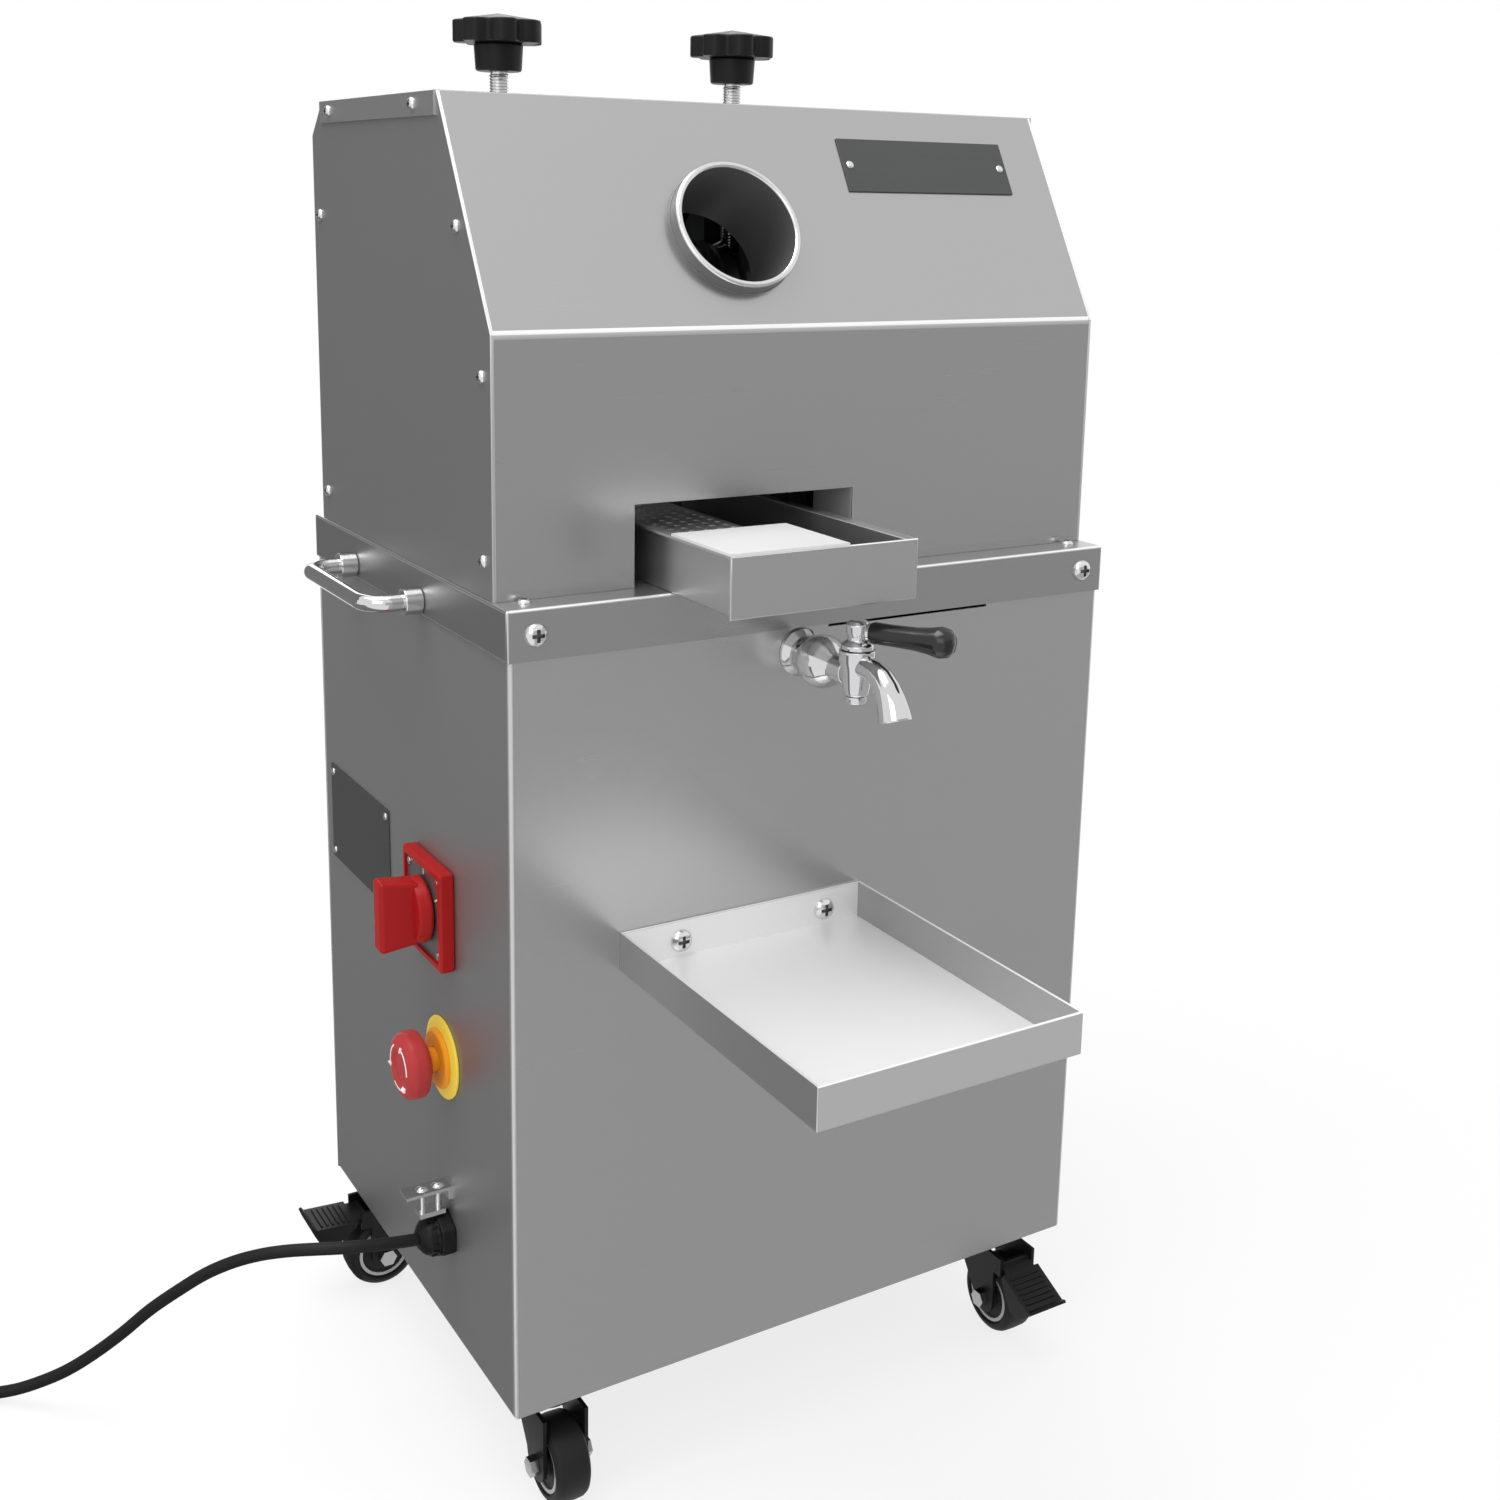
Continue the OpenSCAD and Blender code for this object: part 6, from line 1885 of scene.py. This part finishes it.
@dataclass(frozen=True)
class Card:
    """A grey card of the set that only reflections see.

    Attributes:
        name: Name of the card.
        level: Brightness that it shows.
        low: Its lowest corner.
        high: Its highest corner; the two share their depth or their height.
    """

    name: str
    level: float
    low: tuple[float, float, float]
    high: tuple[float, float, float]

    def build(self) -> None:
        """Set the card up."""
        (x0, y0, z0), (x1, y1, z1) = self.low, self.high
        corners = [self.low, (x1, y0, z0), self.high, (x0, y1, z1)]
        bm = bmesh.new()
        bmesh.ops.contextual_create(bm, geom=[bm.verts.new(corner) for corner in corners])
        mesh = bpy.data.meshes.new(self.name)
        bm.to_mesh(mesh)
        bm.free()
        paint = bpy.data.materials.new(f"{self.name}_paint")
        paint.use_nodes = True
        shader = paint.node_tree.nodes["Principled BSDF"]
        shader.inputs["Base Color"].default_value = (0.0, 0.0, 0.0, 1.0)
        shader.inputs["Specular IOR Level"].default_value = 0.0
        shader.inputs["Emission Color"].default_value = (1.0, 1.0, 1.0, 1.0)
        shader.inputs["Emission Strength"].default_value = self.level
        mesh.materials.append(paint)
        card = bpy.data.objects.new(self.name, mesh)
        card.visible_camera = False
        card.visible_diffuse = False
        card.visible_shadow = False
        bpy.context.scene.collection.objects.link(card)


@dataclass(frozen=True)
class Lamp:
    """A soft lamp of the set.

    Attributes:
        name: Name of the lamp.
        place: Where it hangs.
        target: Point that it faces.
        power: Power in watts.
        size: Side of its square face.
    """

    name: str
    place: tuple[float, float, float]
    target: tuple[float, float, float]
    power: float
    size: float = 1.4

    def build(self) -> None:
        """Hang the lamp."""
        lamp = bpy.data.lights.new(self.name, "AREA")
        lamp.size = self.size
        lamp.energy = self.power
        hung = bpy.data.objects.new(self.name, lamp)
        hung.location = self.place
        hung.rotation_euler = (Vector(self.target) - Vector(self.place)).to_track_quat("-Z", "Y").to_euler()
        bpy.context.scene.collection.objects.link(hung)


@dataclass
class Studio:
    """Pale floor, white background, soft lamps, and grey cards for the steel to show.

    Attributes:
        floor_size: Side of the floor.
        floor_color: Its grey.
        floor_rough: Its roughness.
        near: Distance from the middle within which the floor shows its shadow.
        far: Distance beyond which it is white.
        near_white: Share of plain white within the nearer distance.
        ambient: Strength of the world's light on the object.
        cards: Grey cards that only reflections see.
        lamps: Soft lamps.
    """

    floor_size: float = 30.0
    floor_color: float = 0.86
    floor_rough: float = 0.9
    near: float = 0.45
    far: float = 1.5
    near_white: float = 0.80
    ambient: float = 0.80
    cards: tuple[Card, ...] = (
        Card("front_floor_card", 0.50, (-0.20, -2.60, 0.002), (3.60, -0.12, 0.002)),
        Card("front_wall_card", 0.52, (-0.80, -2.60, 0.0), (4.20, -2.60, 1.60)),
        Card("left_floor_card", 0.23, (-2.00, -0.10, 0.002), (-0.20, 1.60, 0.002)),
        Card("left_wall_card", 0.23, (-3.00, 1.60, 0.0), (-0.20, 1.60, 2.20)),
    )
    lamps: tuple[Lamp, ...] = (
        Lamp("overhead", (-0.6, 0.1, 2.3), (0.0, 0.0, 0.4), 30.0),
        Lamp("front_left", (-1.6, -1.6, 1.7), (0.0, 0.0, 0.5), 8.0),
        Lamp("back", (0.6, 2.2, 1.8), (0.0, 0.0, 0.5), 8.0),
    )

    def build(self) -> None:
        """Set floor, world, cards and lamps."""
        bpy.context.scene.view_settings.view_transform = "Standard"
        self._floor()
        self._world()
        for item in (*self.cards, *self.lamps):
            item.build()

    def _floor(self) -> None:
        """Lay the floor: pale paint round the object, plain white farther out."""
        bm = bmesh.new()
        bmesh.ops.create_grid(bm, x_segments=1, y_segments=1, size=self.floor_size / 2)
        mesh = bpy.data.meshes.new("floor")
        bm.to_mesh(mesh)
        bm.free()
        paint = bpy.data.materials.new("floor_paint")
        paint.use_nodes = True
        tree = paint.node_tree
        shader = tree.nodes["Principled BSDF"]
        grey = self.floor_color
        shader.inputs["Base Color"].default_value = (grey, grey, grey, 1.0)
        shader.inputs["Roughness"].default_value = self.floor_rough
        white = tree.nodes.new("ShaderNodeEmission")
        coords = tree.nodes.new("ShaderNodeTexCoord")
        reach = tree.nodes.new("ShaderNodeVectorMath")
        reach.operation = "LENGTH"
        tree.links.new(coords.outputs["Object"], reach.inputs[0])
        share = tree.nodes.new("ShaderNodeMapRange")
        share.interpolation_type = "SMOOTHSTEP"
        share.inputs["From Min"].default_value = self.near
        share.inputs["From Max"].default_value = self.far
        share.inputs["To Min"].default_value = self.near_white
        tree.links.new(reach.outputs["Value"], share.inputs["Value"])
        seen = tree.nodes.new("ShaderNodeMath")
        seen.operation = "MULTIPLY"
        tree.links.new(share.outputs["Result"], seen.inputs[0])
        tree.links.new(self._seen(tree), seen.inputs[1])
        mix = tree.nodes.new("ShaderNodeMixShader")
        tree.links.new(seen.outputs[0], mix.inputs["Fac"])
        tree.links.new(shader.outputs["BSDF"], mix.inputs[1])
        tree.links.new(white.outputs["Emission"], mix.inputs[2])
        tree.links.new(mix.outputs["Shader"], tree.nodes["Material Output"].inputs["Surface"])
        mesh.materials.append(paint)
        floor = bpy.data.objects.new("floor", mesh)
        bpy.context.scene.collection.objects.link(floor)

    @staticmethod
    def _seen(tree: bpy.types.NodeTree) -> bpy.types.NodeSocket:
        """Tell rays that look at the set from rays that only carry its light.

        Args:
            tree: Node tree to add to.

        Returns:
            Output that is 1 for camera, glossy and transmission rays.
        """
        light = tree.nodes.new("ShaderNodeLightPath")
        seen = light.outputs["Is Camera Ray"]
        for ray in ("Is Glossy Ray", "Is Transmission Ray"):
            either = tree.nodes.new("ShaderNodeMath")
            either.operation = "MAXIMUM"
            tree.links.new(seen, either.inputs[0])
            tree.links.new(light.outputs[ray], either.inputs[1])
            seen = either.outputs[0]
        return seen

    def _world(self) -> None:
        """White where it is seen, in metal too, and softer where it only lights."""
        world = bpy.data.worlds.new("studio")
        world.use_nodes = True
        bpy.context.scene.world = world
        tree = world.node_tree
        level = tree.nodes.new("ShaderNodeMapRange")
        level.inputs["To Min"].default_value = self.ambient
        tree.links.new(self._seen(tree), level.inputs["Value"])
        sky = tree.nodes["Background"]
        sky.inputs["Color"].default_value = (1.0, 1.0, 1.0, 1.0)
        tree.links.new(level.outputs["Result"], sky.inputs["Strength"])


@dataclass
class ViewCamera:
    """Camera at the photograph's viewing angle.

    Attributes:
        place: Where it stands.
        azimuth: Turn of its back from the front, in degrees.
        elevation: Its height above the level, in degrees.
        roll: Its tilt, in degrees.
        focal_px: Focal length in pixels.
        image_px: Side of the image in pixels.
        axis_row_px: Row of the image where its axis falls.
        sensor: Width of the sensor in millimetres.
        clip_start: Distance from which it sees.
    """

    place: tuple[float, float, float] = (-0.55654, -0.90431, 0.75479)
    azimuth: float = -31.27
    elevation: float = 11.65
    roll: float = 1.09
    focal_px: float = 1786.62
    image_px: float = 1500.0
    axis_row_px: float = 561.71
    sensor: float = 36.0
    clip_start: float = 0.05

    def build(self) -> None:
        """Stand the camera and make it the scene's."""
        data = bpy.data.cameras.new("view_camera")
        data.sensor_width = self.sensor
        data.lens = self.sensor * self.focal_px / self.image_px
        data.shift_y = self.axis_row_px / self.image_px - 0.5
        data.clip_start = self.clip_start
        camera = bpy.data.objects.new("view_camera", data)
        side, height = math.radians(self.azimuth), math.radians(self.elevation)
        level = math.cos(height)
        back = Vector((math.sin(side) * level, -math.cos(side) * level, math.sin(height)))
        tilt = Matrix.Rotation(math.radians(self.roll), 4, "Z")
        camera.matrix_world = facing(Vector(self.place), back) @ tilt
        bpy.context.scene.collection.objects.link(camera)
        bpy.context.scene.camera = camera


def main() -> None:
    """Build every sub-assembly, then the set."""
    logging.basicConfig(level=logging.INFO, format="%(name)s: %(message)s")
    builders = (
        ViewCamera(), MainsCord(), PlainSolids(), SheetWork(), Fasteners(), CaneInlet(), BarePlates(),
        PressureKnobs(), CarryHandles(), Tap(), ReversingSwitch(), StopButton(), CordExit(), Castors(),
        Studio(),
    )
    for builder in builders:
        LOG.info("building %s", type(builder).__name__)
        builder.build()


if __name__ == "__main__":
    main()
